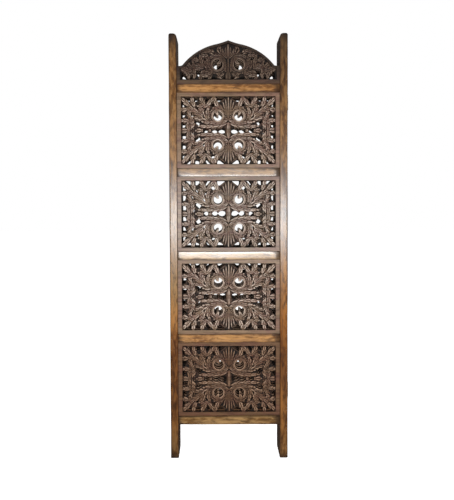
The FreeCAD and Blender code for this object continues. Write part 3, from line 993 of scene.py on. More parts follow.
def carved_wood(settings):
    """Walnut stain, with worn ridges and painted highlight, and dark stain and painted shade in the cuts."""
    tree, shader = new_material("stained_carving")
    place = attribute(tree, "grain_place", "Vector")
    depth = attribute(tree, "cut_depth", "Fac")
    border = attribute(tree, "border", "Fac")
    field = counted(tree, "SUBTRACT", 1.0, border)
    # Ridge is rubbed wear and painted highlight; cut is dark stain and painted shade.
    ridge = counted(tree, "MULTIPLY", ranged(tree, depth, 0.44, 0.1), field)
    cut = ranged(tree, depth, 0.44, 0.7)
    plain = mixed(tree, border, colour(settings.face), colour(settings.border))
    grain = place_group(tree, "Wood Grain", {
        "Place": place, "Light": scaled(tree, plain, (1.2, 1.16, 1.0)),
        "Middle": scaled(tree, plain, (1.15, 0.95, 0.97)), "Dark": colour(settings.cut), "Pores": 0.35,
    })
    with_wear_and_painted_light = place_group(tree, "Wear And Dirt", {
        "Place": place, "Base": grain["Colour"], "Rubbed": colour(settings.ridge),
        "Dirt": colour(settings.cut), "Worn": ridge, "Sheltered": cut, "Scale": 45.0,
    })
    toned = scaled(tree, with_wear_and_painted_light["Colour"], attribute(tree, "tone", "Vector"))
    tree.links.new(toned, shader.inputs["Base Color"])
    tree.links.new(ranged(tree, depth, 0.2, 0.8, 0.36, 0.7), shader.inputs["Roughness"])
    tree.links.new(bumped(tree, grain["Height"], 0.45, 0.3 * MM), shader.inputs["Normal"])
    shader.inputs["Specular IOR Level"].default_value = 0.18
    clean = ranged(tree, depth, 0.6, 0.4, 0.0, 0.4)
    coat = counted(tree, "MULTIPLY", attribute(tree, "lacquer", "Fac"), clean)
    tree.links.new(coat, shader.inputs["Coat Weight"])
    shader.inputs["Coat Roughness"].default_value = 0.3
    shader.inputs["Coat IOR"].default_value = 1.8


def hinge_metal(name, bright, dull):
    """Brass, bright where it rubs and brown elsewhere."""
    tree, shader = new_material(name)
    place = add_node(tree, "ShaderNodeTexCoord").outputs["Object"]
    clouds = noise(tree, place, scale=90.0, detail=5.0, roughness=0.6)
    brushed = noise(tree, scaled(tree, place, (1.0, 1.0, 0.05)), scale=1500.0, detail=2.0)
    aged = mixed(tree, ranged(tree, clouds, 0.28, 0.68), colour(dull), colour(bright))
    tree.links.new(aged, shader.inputs["Base Color"])
    tree.links.new(ranged(tree, clouds, 0.35, 0.65, 0.55, 0.3), shader.inputs["Roughness"])
    tree.links.new(bumped(tree, brushed, 0.25, 0.1 * MM), shader.inputs["Normal"])
    shader.inputs["Metallic"].default_value = 1.0


# Posts and rails

def block(low, high):
    """A bmesh box between two corners."""
    bm = bmesh.new()
    bmesh.ops.create_cube(bm, size=1.0)
    size = Vector(high) - Vector(low)
    bmesh.ops.scale(bm, vec=size, verts=bm.verts)
    bmesh.ops.translate(bm, vec=(Vector(low) + Vector(high)) / 2, verts=bm.verts)
    return bm


def rounded(bm, edges, radius, segments):
    """Round some edges of a bmesh."""
    bmesh.ops.bevel(bm, geom=edges, offset=radius, segments=segments, profile=0.5, affect="EDGES",
                    material=-1, clamp_overlap=True)


def edges_at(bm, test):
    """The edges whose ends both pass a test."""
    return [edge for edge in bm.edges if all(test(vert.co) for vert in edge.verts)]


def cut_across(bm, axis, place):
    """Cut a bar by a plane square to an axis, and keep both sides."""
    normal = Vector((0, 0, 0))
    normal[axis] = 1
    bmesh.ops.bisect_plane(bm, geom=bm.verts[:] + bm.edges[:] + bm.faces[:], plane_co=normal * place,
                           plane_no=normal, dist=MERGED)


def pushed(bm, test, move):
    """Extrude the faces whose corners all pass a test, and move the new ends."""
    faces = [face for face in bm.faces if all(test(vert.co) for vert in face.verts)]
    made = bmesh.ops.extrude_face_region(bm, geom=faces)["geom"]
    bmesh.ops.delete(bm, geom=[face for face in faces if face.is_valid], context="FACES_ONLY")
    bmesh.ops.translate(bm, vec=move, verts=corners(made))


# The groove that holds the boards, the spacing of a bar's cross cuts, and the round top corners of a post.
GROOVE_HALF = 6.65 * MM
GROOVE_DEPTH = 12.0 * MM
STATION = 25.0 * MM
POST_ROUND = 16.0 * MM
POST_OUTER_ROUND = 8.0 * MM
ROUND_STEPS = 8
OUTER_ROUND_STEPS = 5
EDGE_STEPS = 3
RAIL_EDGE_STEPS = 2
# Edges that turn by more than this, in radians, are eased. Past this angle in degrees they are shaded sharp.
EASED_TURN = 1.0
BAR_SHARP = 40
# A planed face sways in long and short waves, and an edge has nicks: wave lengths and amounts in metres.
LONG_WAVE = 0.3
SHORT_WAVE = 0.05
SHORT_SHARE = 0.35
NICK_WAVE = 0.035
NICK_DEPTH = 0.5 * MM
# How far from its edges and ends a bar is darkened with dirt and painted shade, for a rail along X and a post
# along Z. A rail's tenons don't count.
EDGE_REACH = 7.0 * MM
END_REACH = {0: 14.0 * MM, 2: 70.0 * MM}
END_CLEAR = {0: 12.0 * MM, 2: 0.0}
# A bar's ends are darkened this much, as dirt and painted shade.
END_SHADE_AND_DIRT = 0.9
# Each piece's grain starts at a random place this far or less from the pattern's own origin.
GRAIN_SHIFT = 5
# The random seeds of the first post and rail, and the step to the next one.
POST_SEED = 1000
RAIL_SEED = 2000
BAR_STEP = 40
# How a post's finish changes over its height: how golden its wood is, how light, how warm, how much lacquer.
POST_HEIGHTS = (0.05, 0.16, 0.45, 0.6, 0.75, 0.9, 1.08, 1.23, 1.4, 1.55, 1.7, 1.8)
POST_GOLD = {"left": (0.5, 0.8, 0.9, 0.6, 0.25, 0.2, 0.2, 0.3, 0.4, 0.4, 0.4, 0.4),
             "right": (0.6, 0.9, 1.0, 1.0, 0.9, 0.5, 0.3, 0.3, 0.3, 0.3, 0.3, 0.2)}
# The low tones at the top end paint shade on the post tops.
POST_TONES = {"left": (0.58, 0.48, 0.38, 0.8, 0.8, 0.7, 0.55, 0.75, 0.9, 0.75, 0.85, 0.38),
              "right": (0.78, 0.6, 0.36, 0.6, 0.85, 0.7, 0.55, 0.7, 0.85, 0.7, 0.45, 0.3)}
POST_WARMTH = {"left": (-0.3, 0.6, 1.0, 0.4, -0.4, 0.0, 0.0, 0.0, 0.0, 0.0, 0.0, 0.0),
               "right": (-0.2, 0.4, 1.0, 0.8, 0.2, 0.0, 0.0, 0.0, 0.0, 0.0, 0.0, 0.0)}
POST_LACQUER = (0.0, 0.0, 0.0, 0.05, 0.2, 0.45, 0.7, 0.65, 0.3, 0.05, 0.0, 0.0)
# What one unit of warmth takes from red, green and blue.
WARM = np.array((0.0, 0.2, 0.35))
# A rail's gold, tone, warmth and lacquer.
RAIL_FINISH = {
    "bottom": (0.35, 0.92, -0.7, 0.0), "lower": (0.5, 1.12, 0.0, 0.2), "middle": (0.2, 1.1, -0.7, 1.0),
    "upper": (0.3, 0.8, -0.3, 1.0), "top": (0.5, 1.1, 0.1, 0.1),
}


def tinted(tone, warmth):
    """How far to scale red, green and blue for a tone and a warmth per vertex."""
    return tone[:, None] * (1 - warmth[:, None] * WARM)


def finished_bar(bm, low, high, long_axis, settings, seed, node, finish, inner=None):
    """Make a bar uneven inside its own box, mark its dirt and painted shade, its grain and finish, and place
    it for its node.

    Inner is where the side that faces the boards lies, if that side is painted dark as shade.
    """
    name = node + "_wood"
    place = low[long_axis] + STATION
    while place < high[long_axis] - STATION / 2:
        cut_across(bm, long_axis, place)
        place += STATION
    bmesh.ops.recalc_face_normals(bm, faces=bm.faces)
    mesh = bpy.data.meshes.new(name)
    bm.to_mesh(mesh)
    bm.free()
    co = coordinates(mesh)
    cross = [axis for axis in (0, 1, 2) if axis != long_axis]
    middle = (low + high) / 2
    half = (high - low) / 2
    across = (co - middle)[:, cross]
    inside = half[cross] - np.abs(across)
    # Near the long edges: nicks go here, and dirt and painted shade darken the wood.
    edge = np.clip(1 - inside.max(axis=1) / EDGE_REACH, 0, 1)
    end = half[long_axis] - np.abs(co[:, long_axis] - middle[long_axis])
    end_shade_and_dirt = np.clip(1 - (end - END_CLEAR[long_axis]) / END_REACH[long_axis], 0, 1)
    dirt_and_shade = np.maximum(edge, END_SHADE_AND_DIRT * end_shade_and_dirt)
    # The side that faces the boards is painted fully dark, as shade.
    if inner is not None:
        dirt_and_shade[np.abs(co[:, 0] - inner) < NEAR] = 1.0
    moved = co.copy()
    for axis in cross:
        waves = wander(co, seed + axis, LONG_WAVE, settings.unevenness)
        waves = waves + wander(co, seed + 10 + axis, SHORT_WAVE, SHORT_SHARE * settings.unevenness)
        moved[:, axis] += waves - np.sign(co[:, axis] - middle[axis]) * settings.unevenness
    nicks = np.clip(wander(co, seed + 20, NICK_WAVE, 1.0), 0, 1) * edge
    for axis in cross:
        moved[:, axis] -= np.sign(co[:, axis] - middle[axis]) * nicks * NICK_DEPTH
    moved = np.clip(moved, low, high)
    keep = np.zeros(len(co), bool)
    for axis in range(3):
        keep |= (co[:, axis] < low[axis] - NEAR) | (co[:, axis] > high[axis] + NEAR)
    moved[keep] = co[keep]
    set_coordinates(mesh, moved)
    shift = np.random.default_rng(seed).uniform(-GRAIN_SHIFT, GRAIN_SHIFT, 3)
    add_vector(mesh, "grain_place", (co - middle)[:, cross + [long_axis]] + shift)
    # The edge attribute carries the dirt and the painted shade.
    add_number(mesh, "edge", dirt_and_shade)
    gold, tone, warmth, lacquer = (np.interp(co[:, 2], POST_HEIGHTS, values) for values in finish)
    add_number(mesh, "gold", gold)
    add_vector(mesh, "tone", tinted(tone, warmth))
    add_number(mesh, "lacquer", lacquer)
    body = "_".join(node.split("_")[:2])
    place_piece(smooth_shaded(mesh, BAR_SHARP), name, [node], body, "lacquered_wood")


def post_piece(leaf, side_name, settings, seed):
    """A post with a round top corner towards the arch, eased edges and the groove that holds the boards."""
    node = "%s_%s_post" % (leaf, side_name)
    low, high = node_box(node)
    side = 1 if side_name == "right" else -1
    inner = low[0] if side > 0 else high[0]
    outer = high[0] if side > 0 else low[0]
    bm = block(low, high)
    top = high[2]
    tops = ((inner, POST_ROUND, ROUND_STEPS), (outer, POST_OUTER_ROUND, OUTER_ROUND_STEPS))
    for side_x, radius, steps in tops:
        rounded(bm, edges_at(bm, lambda v: abs(v.z - top) < NEAR and abs(v.x - side_x) < NEAR), radius, steps)
    sharp = [edge for edge in bm.edges if edge.calc_face_angle() > EASED_TURN
             and not all(abs(vert.co.z - low[2]) < NEAR for vert in edge.verts)]
    rounded(bm, sharp, settings.edge_round, EDGE_STEPS)
    middle = (low[1] + high[1]) / 2
    groove_low = node_box(leaf + "_bottom_rail")[0][2] + GROOVE_DEPTH
    groove_high = ARCH_FOOT + ARCH_SHOULDER * MM
    for place in (middle - GROOVE_HALF, middle + GROOVE_HALF):
        cut_across(bm, 1, place)
    for place in (inner + side * EDGE_REACH, outer - side * EDGE_REACH):
        cut_across(bm, 0, place)
    for place in (groove_low, groove_high):
        cut_across(bm, 2, place)
    pushed(bm, lambda v: abs(v.x - inner) < NEAR and abs(v.y - middle) < GROOVE_HALF + NEAR
           and groove_low - NEAR < v.z < groove_high + NEAR, (side * GROOVE_DEPTH, 0, 0))
    finish = (POST_GOLD[side_name], POST_TONES[side_name], POST_WARMTH[side_name], POST_LACQUER)
    finished_bar(bm, low, high, 2, settings, seed, node, finish, inner)


def rail_piece(leaf, rail_name, settings, seed):
    """A rail with eased long edges, a groove for each board that it holds and two stub tenons."""
    node = "%s_%s_rail" % (leaf, rail_name)
    low, high = node_box(node)
    half = OPENING_HALF * MM
    low[0], high[0] = -half, half
    bm = block(low, high)
    long_edges = [edge for edge in bm.edges if abs(edge.verts[0].co.x - edge.verts[1].co.x) > half]
    rounded(bm, long_edges, settings.rail_edge, RAIL_EDGE_STEPS)
    middle = (low[1] + high[1]) / 2
    for place in (middle - GROOVE_HALF, middle + GROOVE_HALF):
        cut_across(bm, 1, place)
    for place in (low[2] + GROOVE_DEPTH, high[2] - GROOVE_DEPTH):
        cut_across(bm, 2, place)

    def in_width(v):
        return abs(v.y - middle) < GROOVE_HALF + NEAR

    floors = [(high[2], -1)]
    if rail_name != "bottom":
        floors.append((low[2], 1))
    for face_z, way in floors:
        pushed(bm, lambda v: in_width(v) and abs(v.z - face_z) < NEAR, (0, 0, way * GROOVE_DEPTH))
        floor_z = face_z + way * GROOVE_DEPTH
        span = sorted((face_z, floor_z))
        ends = [face for face in bm.faces if abs(face.calc_center_median().x) > half - NEAR and all(
            in_width(v.co) and span[0] - NEAR < v.co.z < span[1] + NEAR for v in face.verts)]
        bmesh.ops.delete(bm, geom=ends, context="FACES")
        bmesh.ops.remove_doubles(bm, verts=bm.verts, dist=MERGED)
    for side in (-1, 1):
        pushed(bm, lambda v: in_width(v) and abs(v.x - side * half) < NEAR
               and low[2] + GROOVE_DEPTH - NEAR < v.z < high[2] - GROOVE_DEPTH + NEAR,
               (side * SEAT * MM, 0, 0))
    finish = [(value,) * len(POST_HEIGHTS) for value in RAIL_FINISH[rail_name]]
    finished_bar(bm, low, high, 0, settings, seed, node, finish)


# Carved boards and arches

# How light and how warm each board is coloured, darkest on the bottom board and the arch, and by how much one
# leaf's differs from the next one's.
BOARD_TONES = {"bottom": (0.65, 1.0), "lower": (1.02, 0.0), "upper": (0.98, -0.2), "top": (0.94, 0.1),
               "arch": (0.4, 0.5)}
TONE_SPREAD = 0.03
# The plain border's value on the scale of cut_depth, where neither the stain and painted shade of cuts nor
# the wear and painted highlight of ridges begins.
BORDER_DEPTH = 0.44
# How light the arch's rim is against its carving: a painted shade on the rim along the arch's outline.
RIM_PAINTED_SHADE = 0.35
# The hand's unevenness grows from nothing at the border to full this far into the field, in millimetres.
FIELD_FADE = 12.0
# Its waves along the face and out of it, in metres, and its share out of the face.
FACE_WAVE = 0.06
RELIEF_WAVE = 0.05
RELIEF_SWAY = 0.5
RELIEF_DROP = 0.4
# The random seeds of the first board and arch, and the step to the next one.
BOARD_SEED = 100
ARCH_SEED = 500
PIECE_STEP = 7
# The relief of an arch is sampled this far past its top, in millimetres.
PAST_TOP = 1


def carved_copies(master, carving, depth_values, kind, settings, first_seed):
    """Place one carved piece per leaf and opening, from the master mesh, each uneven in its own way."""
    base = coordinates(master)
    if kind == "arch":
        names = [(leaf, "arch") for leaf in LEAVES]
    else:
        names = [(leaf, name) for leaf in LEAVES for name in BOARD_NAMES]
    flat = flat_places(base, kind)
    gap = carving.field_gap(flat)
    field = np.clip(gap / FIELD_FADE, 0, 1)
    border = gap < ON_LINE
    depth_values = np.where(border, BORDER_DEPTH, depth_values)
    # The arch's rim is painted darker, as shade.
    rim = border & (flat[:, 1] > ARCH_BORDER + ARCH_RIM) & (kind == "arch")
    for number, (leaf, name) in enumerate(names):
        node = "%s_%s_jali" % (leaf, name)
        low, high = node_box(node)
        seed = first_seed + PIECE_STEP * number
        mesh = master.copy()
        mesh.name = "%s_%s_carving" % (leaf, name)
        co = base.copy()
        stray = settings.unevenness
        co[:, 0] += field * wander(base, seed, FACE_WAVE, stray)
        co[:, 2] += field * wander(base, seed + 1, FACE_WAVE, stray)
        sway = wander(base, seed + 2, RELIEF_WAVE, RELIEF_SWAY * stray)
        co[:, 1] -= np.sign(base[:, 1]) * field * np.clip(sway + RELIEF_DROP * stray, 0, stray)
        origin_z = ARCH_FOOT if kind == "arch" else (low[2] + high[2]) / 2
        middle = np.array([0, (low[1] + high[1]) / 2, origin_z])
        set_coordinates(mesh, np.clip(co + middle, low, high))
        shift = np.random.default_rng(seed).uniform(-GRAIN_SHIFT, GRAIN_SHIFT, 3)
        add_vector(mesh, "grain_place", base[:, [2, 1, 0]] + shift)
        add_number(mesh, "cut_depth", depth_values)
        add_number(mesh, "border", border)
        tone, warmth = BOARD_TONES[name]
        tones = (tone + TONE_SPREAD * math.sin(seed)) * np.where(rim, RIM_PAINTED_SHADE, 1.0)
        add_vector(mesh, "tone", tinted(tones, np.full(len(co), warmth)))
        add_number(mesh, "lacquer", np.interp(co[:, 2] + middle[2], POST_HEIGHTS, POST_LACQUER))
        place_piece(mesh, mesh.name, [node], leaf, "stained_carving")


# Hinges

HINGE_LENGTH = 64.0 * MM
PLATE_THICKNESS = 1.5 * MM
PLATE_WIDTH = 20.0 * MM
PLATE_RECESS = 1.0 * MM
PLATE_CORNER = 2.0 * MM
CORNER_STEPS = 5
PLATE_EDGE = 0.25 * MM
PLATE_EDGE_STEPS = 2
KNUCKLE_RADIUS = 3.2 * MM
KNUCKLE_PLAY = 0.4 * MM
KNUCKLE_EASE = 0.3 * MM
KNUCKLE_STEPS = 24
# The web between a plate and its knuckles starts inside the knuckle and laps over the plate.
WEB_START = 2.4 * MM
WEB_LAP = 0.3 * MM
# A knuckle is this much under its full radius, and its bore this much over the pin's.
KNUCKLE_SKIN = 0.02 * MM
BORE_PLAY = 0.05 * MM
PIN_RADIUS = 1.6 * MM
PIN_PROUD = 0.1 * MM
PIN_STEPS = 20
PIN_HEAD_RADIUS = 2.5 * MM
PIN_HEAD_HEIGHT = 1.8 * MM
# A pin's domed head from its rim to its top: shares of its radius and of its height.
PIN_DOME = ((1.0, 0.35), (0.7, 0.8), (0.0, 1.0))
SCREW_PROUD = 0.4 * MM
SCREW_TOP = 0.88
SCREW_STEPS = 24
SLOT_HALF = 0.45 * MM
SLOT_WALL = 0.08 * MM
SLOT_DEPTH = 0.9
# How far across the plate the outer screws and the middle screw sit.
SCREW_PLACES = (0.6, 0.42)
HINGE_SHARP = 35
HINGE_SEED = 900


def turned(bm, profile, centre, steps):
    """Spin a closed or open profile of (radius, height) points round an upright line."""
    verts = [bm.verts.new((centre[0] + radius, centre[1], height)) for radius, height in profile]
    edges = [bm.edges.new(pair) for pair in zip(verts, verts[1:])]
    if profile[0][0] > 0:
        edges.append(bm.edges.new((verts[-1], verts[0])))
    bmesh.ops.spin(bm, geom=verts + edges, cent=(centre[0], centre[1], 0), axis=(0, 0, 1),
                   dvec=(0, 0, 0), angle=2 * math.pi, steps=steps, use_merge=True, use_duplicate=False)
    bmesh.ops.remove_doubles(bm, verts=bm.verts, dist=MERGED)
    return bm


def knuckle(centre, low, high):
    """A knuckle with a bore and eased ends."""
    bore = PIN_RADIUS + BORE_PLAY
    outer = KNUCKLE_RADIUS - KNUCKLE_SKIN
    ease = KNUCKLE_EASE
    profile = [(bore, low), (outer - ease, low), (outer, low + ease), (outer, high - ease),
               (outer - ease, high), (bore, high)]
    return turned(bmesh.new(), profile, centre, KNUCKLE_STEPS)


def pin_rod(centre, bottom, top):
    """A pin with a domed head at each end."""
    dome = [(share * PIN_HEAD_RADIUS, rise * PIN_HEAD_HEIGHT) for share, rise in PIN_DOME]
    profile = [(radius, bottom - rise) for radius, rise in reversed(dome)]
    profile += [(PIN_HEAD_RADIUS, bottom), (PIN_RADIUS, bottom), (PIN_RADIUS, top), (PIN_HEAD_RADIUS, top)]
    profile += [(radius, top + rise) for radius, rise in dome]
    return turned(bmesh.new(), profile, centre, PIN_STEPS)


def joined(parts, name):
    """One mesh out of several bmeshes."""
    whole = bmesh.new()
    for part in parts:
        bmesh.ops.dissolve_degenerate(part, edges=part.edges, dist=MERGED)
        bmesh.ops.recalc_face_normals(part, faces=part.faces)
        mesh = bpy.data.meshes.new("part")
        part.to_mesh(mesh)
        part.free()
        whole.from_mesh(mesh)
        bpy.data.meshes.remove(mesh)
    mesh = bpy.data.meshes.new(name)
    whole.to_mesh(mesh)
    whole.free()
    return smooth_shaded(mesh, HINGE_SHARP)


def screw_head(centre, side, radius, turn):
    """A flat slotted head that stands a little proud of the plate."""
    bm = bmesh.new()
    bmesh.ops.create_cone(bm, cap_ends=True, segments=SCREW_STEPS, radius1=radius, radius2=radius * SCREW_TOP,
                          depth=2 * SCREW_PROUD)
    for place in (-SLOT_HALF - SLOT_WALL, -SLOT_HALF, SLOT_HALF, SLOT_HALF + SLOT_WALL):
        cut_across(bm, 1, place)
    pushed(bm, lambda v: abs(v.z - SCREW_PROUD) < NEAR and abs(v.y) < SLOT_HALF + NEAR,
           (0, 0, -SLOT_DEPTH * SCREW_PROUD))
    bmesh.ops.rotate(bm, matrix=Matrix.Rotation(turn, 3, "Z"), verts=bm.verts)
    bmesh.ops.rotate(bm, matrix=Matrix.Rotation(side * math.pi / 2, 3, "Y"), verts=bm.verts)
    bmesh.ops.translate(bm, vec=centre, verts=bm.verts)
    return bm


def plate_parts(pin, inner, side, face, bottom, top):
    """A hinge plate, its webs and its knuckles: the outer two in front of the pin, the middle one behind."""
    third = HINGE_LENGTH / 3
    if face < 0:
        spans = [(bottom, bottom + third), (top - third, top)]
    else:
        spans = [(bottom + third + KNUCKLE_PLAY, top - third - KNUCKLE_PLAY)]
    clear = KNUCKLE_RADIUS + KNUCKLE_PLAY
    far = pin[1] + face * PLATE_WIDTH
    outer = inner + side * PLATE_THICKNESS
    ends = sorted((pin[1] + face * clear, far))
    across = sorted((inner, outer))
    plate = block((across[0], ends[0], bottom), (across[1], ends[1], top))
    for end in (bottom, top):
        corner = edges_at(plate, lambda v: abs(v.y - far) < NEAR and abs(v.z - end) < NEAR)
        rounded(plate, corner, PLATE_CORNER, CORNER_STEPS)
    rounded(plate, edges_at(plate, lambda v: abs(v.x - outer) < NEAR), PLATE_EDGE, PLATE_EDGE_STEPS)
    parts = [plate]
    for low, high in spans:
        near = sorted((pin[1] + face * WEB_START, pin[1] + face * (clear + WEB_LAP)))
        parts.append(block((across[0], near[0], low), (across[1], near[1], high)))
        parts.append(knuckle(pin, low, high))
    return parts


def hinge_pieces(joint, settings):
    """The plates, screws and pins of the two hinges on one fold."""
    low, high = node_box("hinge_set_%d_pins" % joint)
    pin = ((low[0] + high[0]) / 2, (low[1] + high[1]) / 2)
    side = 1 if pin[0] > 0 else -1
    post = node_box("leaf_%d_right_post" % joint)
    inner = side * (post[1][0] - PLATE_RECESS)
    outer = inner + side * PLATE_THICKNESS
    bottoms = (low[2], high[2] - HINGE_LENGTH)
    clear = KNUCKLE_RADIUS + KNUCKLE_PLAY
    rng = np.random.default_rng(HINGE_SEED + joint)
    for face, title, body in ((-1, "front", joint), (1, "back", joint + 1)):
        plates = []
        screws = []
        for bottom in bottoms:
            plates += plate_parts(pin, inner, side, face, bottom, bottom + HINGE_LENGTH)
            for number in range(settings.screws):
                height = bottom + HINGE_LENGTH * (number + 0.5) / settings.screws
                depth = pin[1] + face * (clear + (PLATE_WIDTH - clear) * SCREW_PLACES[number % 2])
                turn = rng.uniform(0, math.pi)
                screws.append(screw_head((outer, depth, height), side, settings.head / 2, turn))
        leaf = "leaf_%d" % body
        name = "hinge_%d_%s_leaves" % (joint, title)
        node = "hinge_set_%d_%s_plates" % (joint, title)
        place_piece(joined(plates, name), name, [node], leaf, "aged_brass")
        name = "hinge_%d_%s_screws" % (joint, title)
        place_piece(joined(screws, name), name, [], leaf, "dark_brass")
    pins = [pin_rod(pin, bottom - PIN_PROUD, bottom + HINGE_LENGTH + PIN_PROUD) for bottom in bottoms]
    name = "hinge_%d_pins" % joint
    node = "hinge_set_%d_pins" % joint
    place_piece(joined(pins, name), name, [node], "leaf_%d" % joint, "aged_brass")


# Operators

class JALI_OT_materials(bpy.types.Operator):
    """Make the wood and brass finishes"""
    bl_idname = "jali.materials"
    bl_label = "Make Finishes"

    def execute(self, context):
        wood_grain_group()
        wear_and_painted_light_group()
        frame_wood(context.scene.jali_frame)
        carved_wood(context.scene.jali_carving)
        hinges = context.scene.jali_hinges
        hinge_metal("aged_brass", hinges.brass, hinges.tarnish)
        hinge_metal("dark_brass", hinges.tarnish, hinges.screw_brown)
        return {"FINISHED"}


class JALI_OT_boards(bpy.types.Operator):
    """Carve the four pierced boards of each leaf"""
    bl_idname = "jali.boards"
    bl_label = "Carve Boards"

    def execute(self, context):
        settings = context.scene.jali_carving
        board = Carving(BOARD_LEAVES, BOARD_HOLES, BOARD_EYE, settings.depth / MM, board_field_gap,
                        board_outline_gap, board_outer)
        bm = carved_sheet(board, FIELD_SIDE, 0.0, FIELD_END, settings.pitch / MM)
        mirror_across(bm, 0)
        mirror_across(bm, 2)
        master = closed_board(bordered(thinned(bm, settings.kept), board, "board"), board, "board")
        values = cut_depth(board, 0.0, HALF_BOARD[2], HALF_BOARD[0], coordinates(master))
        carved_copies(master, board, values, "board", settings, BOARD_SEED)
        bpy.data.meshes.remove(master)
        return {"FINISHED"}


class JALI_OT_arches(bpy.types.Operator):
    """Carve the pierced arch on top of each leaf"""
    bl_idname = "jali.arches"
    bl_label = "Carve Arches"

    def execute(self, context):
        settings = context.scene.jali_carving
        arch = Carving(ARCH_LEAVES, ARCH_HOLES, ARCH_EYE, settings.depth / MM, arch_field_gap,
                       arch_outline_gap, arch_outer)
        bm = carved_sheet(arch, ARCH_FIELD_SIDE, ARCH_BORDER, ARCH_RISE, settings.pitch / MM)
        mirror_across(bm, 0)
        master = closed_board(bordered(thinned(bm, settings.kept), arch, "arch"), arch, "arch")
        values = cut_depth(arch, -SEAT, ARCH_RISE + PAST_TOP, HALF_BOARD[0], coordinates(master))
        carved_copies(master, arch, values, "arch", settings, ARCH_SEED)
        bpy.data.meshes.remove(master)
        return {"FINISHED"}


class JALI_OT_posts(bpy.types.Operator):
    """Shape the two posts of each leaf"""
    bl_idname = "jali.posts"
    bl_label = "Shape Posts"

    def execute(self, context):
        for number, leaf in enumerate(LEAVES):
            for side, name in enumerate(("left", "right")):
                seed = POST_SEED + BAR_STEP * (2 * number + side)
                post_piece(leaf, name, context.scene.jali_frame, seed)
        return {"FINISHED"}


class JALI_OT_rails(bpy.types.Operator):
    """Shape the five rails of each leaf"""
    bl_idname = "jali.rails"
    bl_label = "Shape Rails"

    def execute(self, context):
        for number, leaf in enumerate(LEAVES):
            for place, name in enumerate(RAIL_NAMES):
                seed = RAIL_SEED + BAR_STEP * (len(RAIL_NAMES) * number + place)
                rail_piece(leaf, name, context.scene.jali_frame, seed)
        return {"FINISHED"}


class JALI_OT_hinges(bpy.types.Operator):
    """Fit the brass hinges of each fold"""
    bl_idname = "jali.hinges"
    bl_label = "Fit Hinges"

    def execute(self, context):
        for joint in HINGE_SETS:
            hinge_pieces(joint, context.scene.jali_hinges)
        return {"FINISHED"}


# The stage

# The camera's turns are in degrees away from looking level along Y.
CAMERA_PLACE = (-0.052, -2.100, 1.155)
CAMERA_PITCH = -1.558
CAMERA_YAW = -0.006
CAMERA_ROLL = -0.216
CAMERA_LENS = 34.416
CAMERA_SHIFT = (0.02095, -0.09012)
SENSOR_WIDTH = 36.0
# A lamp's place, the place that it is turned to, and its width and height.
LAMPS = {
    "front_lamp": ((0.05, -2.1, 0.87), (0, 0, 0.95), (1.3, 0.42)),
    "high_lamp": ((-0.6, -1.8, 3.2), (0, 0, 0.9), (2.4, 1.6)),
    "back_lamp": ((1.0, 2.4, 1.9), (0, 0, 0.9), (1.6, 1.6)),
}
WHITE = (1, 1, 1)
FLOOR_SIZE = 12.0
FLOOR_TINTS = ((0.86, 0.86, 0.86), (0.9, 0.9, 0.9))
FLOOR_GLOW = 0.85


def area_lamp(name, place, target, size, power):
    """A soft lamp turned towards a place."""
    data = bpy.data.lights.new(name, "AREA")
    data.shape = "RECTANGLE"
    data.size, data.size_y = size
    data.energy = power
    lamp = bpy.data.objects.new(name, data)
    lamp.location = place
    lamp.rotation_euler = (Vector(target) - Vector(place)).to_track_quat("-Z", "Y").to_euler()
    bpy.context.scene.collection.objects.link(lamp)
    return lamp


def white_world(strength):
    """Even light on the screen, and white behind it for the camera and for reflections."""
    world = bpy.data.worlds.new("Studio")
    bpy.context.scene.world = world
    world.use_nodes = True
    tree = world.node_tree
    tree.nodes.clear()
    path = tree.nodes.new("ShaderNodeLightPath")
    mirrored = counted(tree, "MAXIMUM", path.outputs["Is Camera Ray"], path.outputs["Is Glossy Ray"])
    seen = counted(tree, "MAXIMUM", mirrored, path.outputs["Is Transmission Ray"])
    light = add_node(tree, "ShaderNodeBackground", {"Color": colour(WHITE), "Strength": strength})
    white = add_node(tree, "ShaderNodeBackground", {"Color": colour(WHITE), "Strength": 1.0})
    mix = add_node(tree, "ShaderNodeMixShader", {0: seen, 1: light.outputs[0], 2: white.outputs[0]})
    end = tree.nodes.new("ShaderNodeOutputWorld")
    tree.links.new(mix.outputs[0], end.inputs[0])


def floor_piece():
    """A wide pale floor that stays white for the camera but keeps the screen's shadow."""
    material = bpy.data.materials.new("pale_floor")
    material.use_nodes = True
    tree = material.node_tree
    tree.nodes.clear()
    place = add_node(tree, "ShaderNodeTexCoord").outputs["Object"]
    clouds = noise(tree, place, scale=3.0, detail=2.0)
    tint = mixed(tree, clouds, *(colour(values) for values in FLOOR_TINTS))
    matt = add_node(tree, "ShaderNodeBsdfDiffuse", {"Color": tint})
    path = tree.nodes.new("ShaderNodeLightPath")
    strength = counted(tree, "MULTIPLY", path.outputs["Is Camera Ray"], FLOOR_GLOW)
    glow = add_node(tree, "ShaderNodeEmission", {"Color": colour(WHITE), "Strength": strength})
    total = add_node(tree, "ShaderNodeAddShader", {0: matt.outputs[0], 1: glow.outputs[0]})
    end = tree.nodes.new("ShaderNodeOutputMaterial")
    tree.links.new(total.outputs[0], end.inputs[0])
    bm = bmesh.new()
    bmesh.ops.create_grid(bm, x_segments=1, y_segments=1, size=FLOOR_SIZE)
    mesh = bpy.data.meshes.new("floor")
    bm.to_mesh(mesh)
    bm.free()
    mesh.materials.append(material)
    floor = bpy.data.objects.new("floor", mesh)
    bpy.context.scene.collection.objects.link(floor)


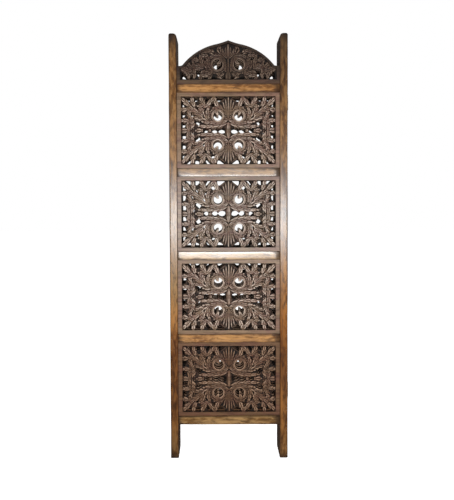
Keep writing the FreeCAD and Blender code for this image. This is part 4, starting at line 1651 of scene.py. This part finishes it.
class JALI_OT_stage(bpy.types.Operator):
    """Set the camera, the pale floor and the soft lamps"""
    bl_idname = "jali.stage"
    bl_label = "Set Stage"

    def execute(self, context):
        settings = context.scene.jali_stage
        context.scene.view_settings.view_transform = "Standard"
        data = bpy.data.cameras.new("camera")
        data.lens = CAMERA_LENS
        data.sensor_width = SENSOR_WIDTH
        data.shift_x, data.shift_y = CAMERA_SHIFT
        camera = bpy.data.objects.new("camera", data)
        camera.location = CAMERA_PLACE
        turn = Euler((math.radians(90 + CAMERA_PITCH), 0, math.radians(CAMERA_YAW)), "XYZ").to_matrix()
        camera.rotation_euler = (turn @ Matrix.Rotation(math.radians(CAMERA_ROLL), 3, "Z")).to_euler()
        context.scene.collection.objects.link(camera)
        context.scene.camera = camera
        for name, (place, target, size) in LAMPS.items():
            area_lamp(name, place, target, size, getattr(settings, name))
        bpy.data.objects["back_lamp"].visible_camera = False
        white_world(settings.room)
        floor_piece()
        return {"FINISHED"}


OPERATORS = (JALI_OT_materials, JALI_OT_stage, JALI_OT_boards, JALI_OT_arches, JALI_OT_posts, JALI_OT_rails,
             JALI_OT_hinges)


class JALI_PT_panel(bpy.types.Panel):
    """Sizes, colours and steps of the carved jali screen"""
    bl_idname = "JALI_PT_panel"
    bl_label = "Carved Jali Screen"
    bl_space_type = "VIEW_3D"
    bl_region_type = "UI"
    bl_category = "Jali Screen"

    def draw(self, context):
        for title, kind in SETTINGS.items():
            box = self.layout.box()
            settings = getattr(context.scene, title)
            for key in kind.__annotations__:
                box.prop(settings, key)
        for operator in OPERATORS:
            self.layout.operator(operator.bl_idname)


def register():
    for kind in (*SETTINGS.values(), *OPERATORS, JALI_PT_panel):
        bpy.utils.register_class(kind)
    for title, kind in SETTINGS.items():
        setattr(bpy.types.Scene, title, PointerProperty(type=kind))


def unregister():
    for title in SETTINGS:
        delattr(bpy.types.Scene, title)
    for kind in reversed((*SETTINGS.values(), *OPERATORS, JALI_PT_panel)):
        bpy.utils.unregister_class(kind)


def main():
    register()
    bpy.ops.jali.materials()
    bpy.ops.jali.stage()
    bpy.ops.jali.boards()
    bpy.ops.jali.arches()
    bpy.ops.jali.posts()
    bpy.ops.jali.rails()
    bpy.ops.jali.hinges()


if __name__ == "__main__":
    main()
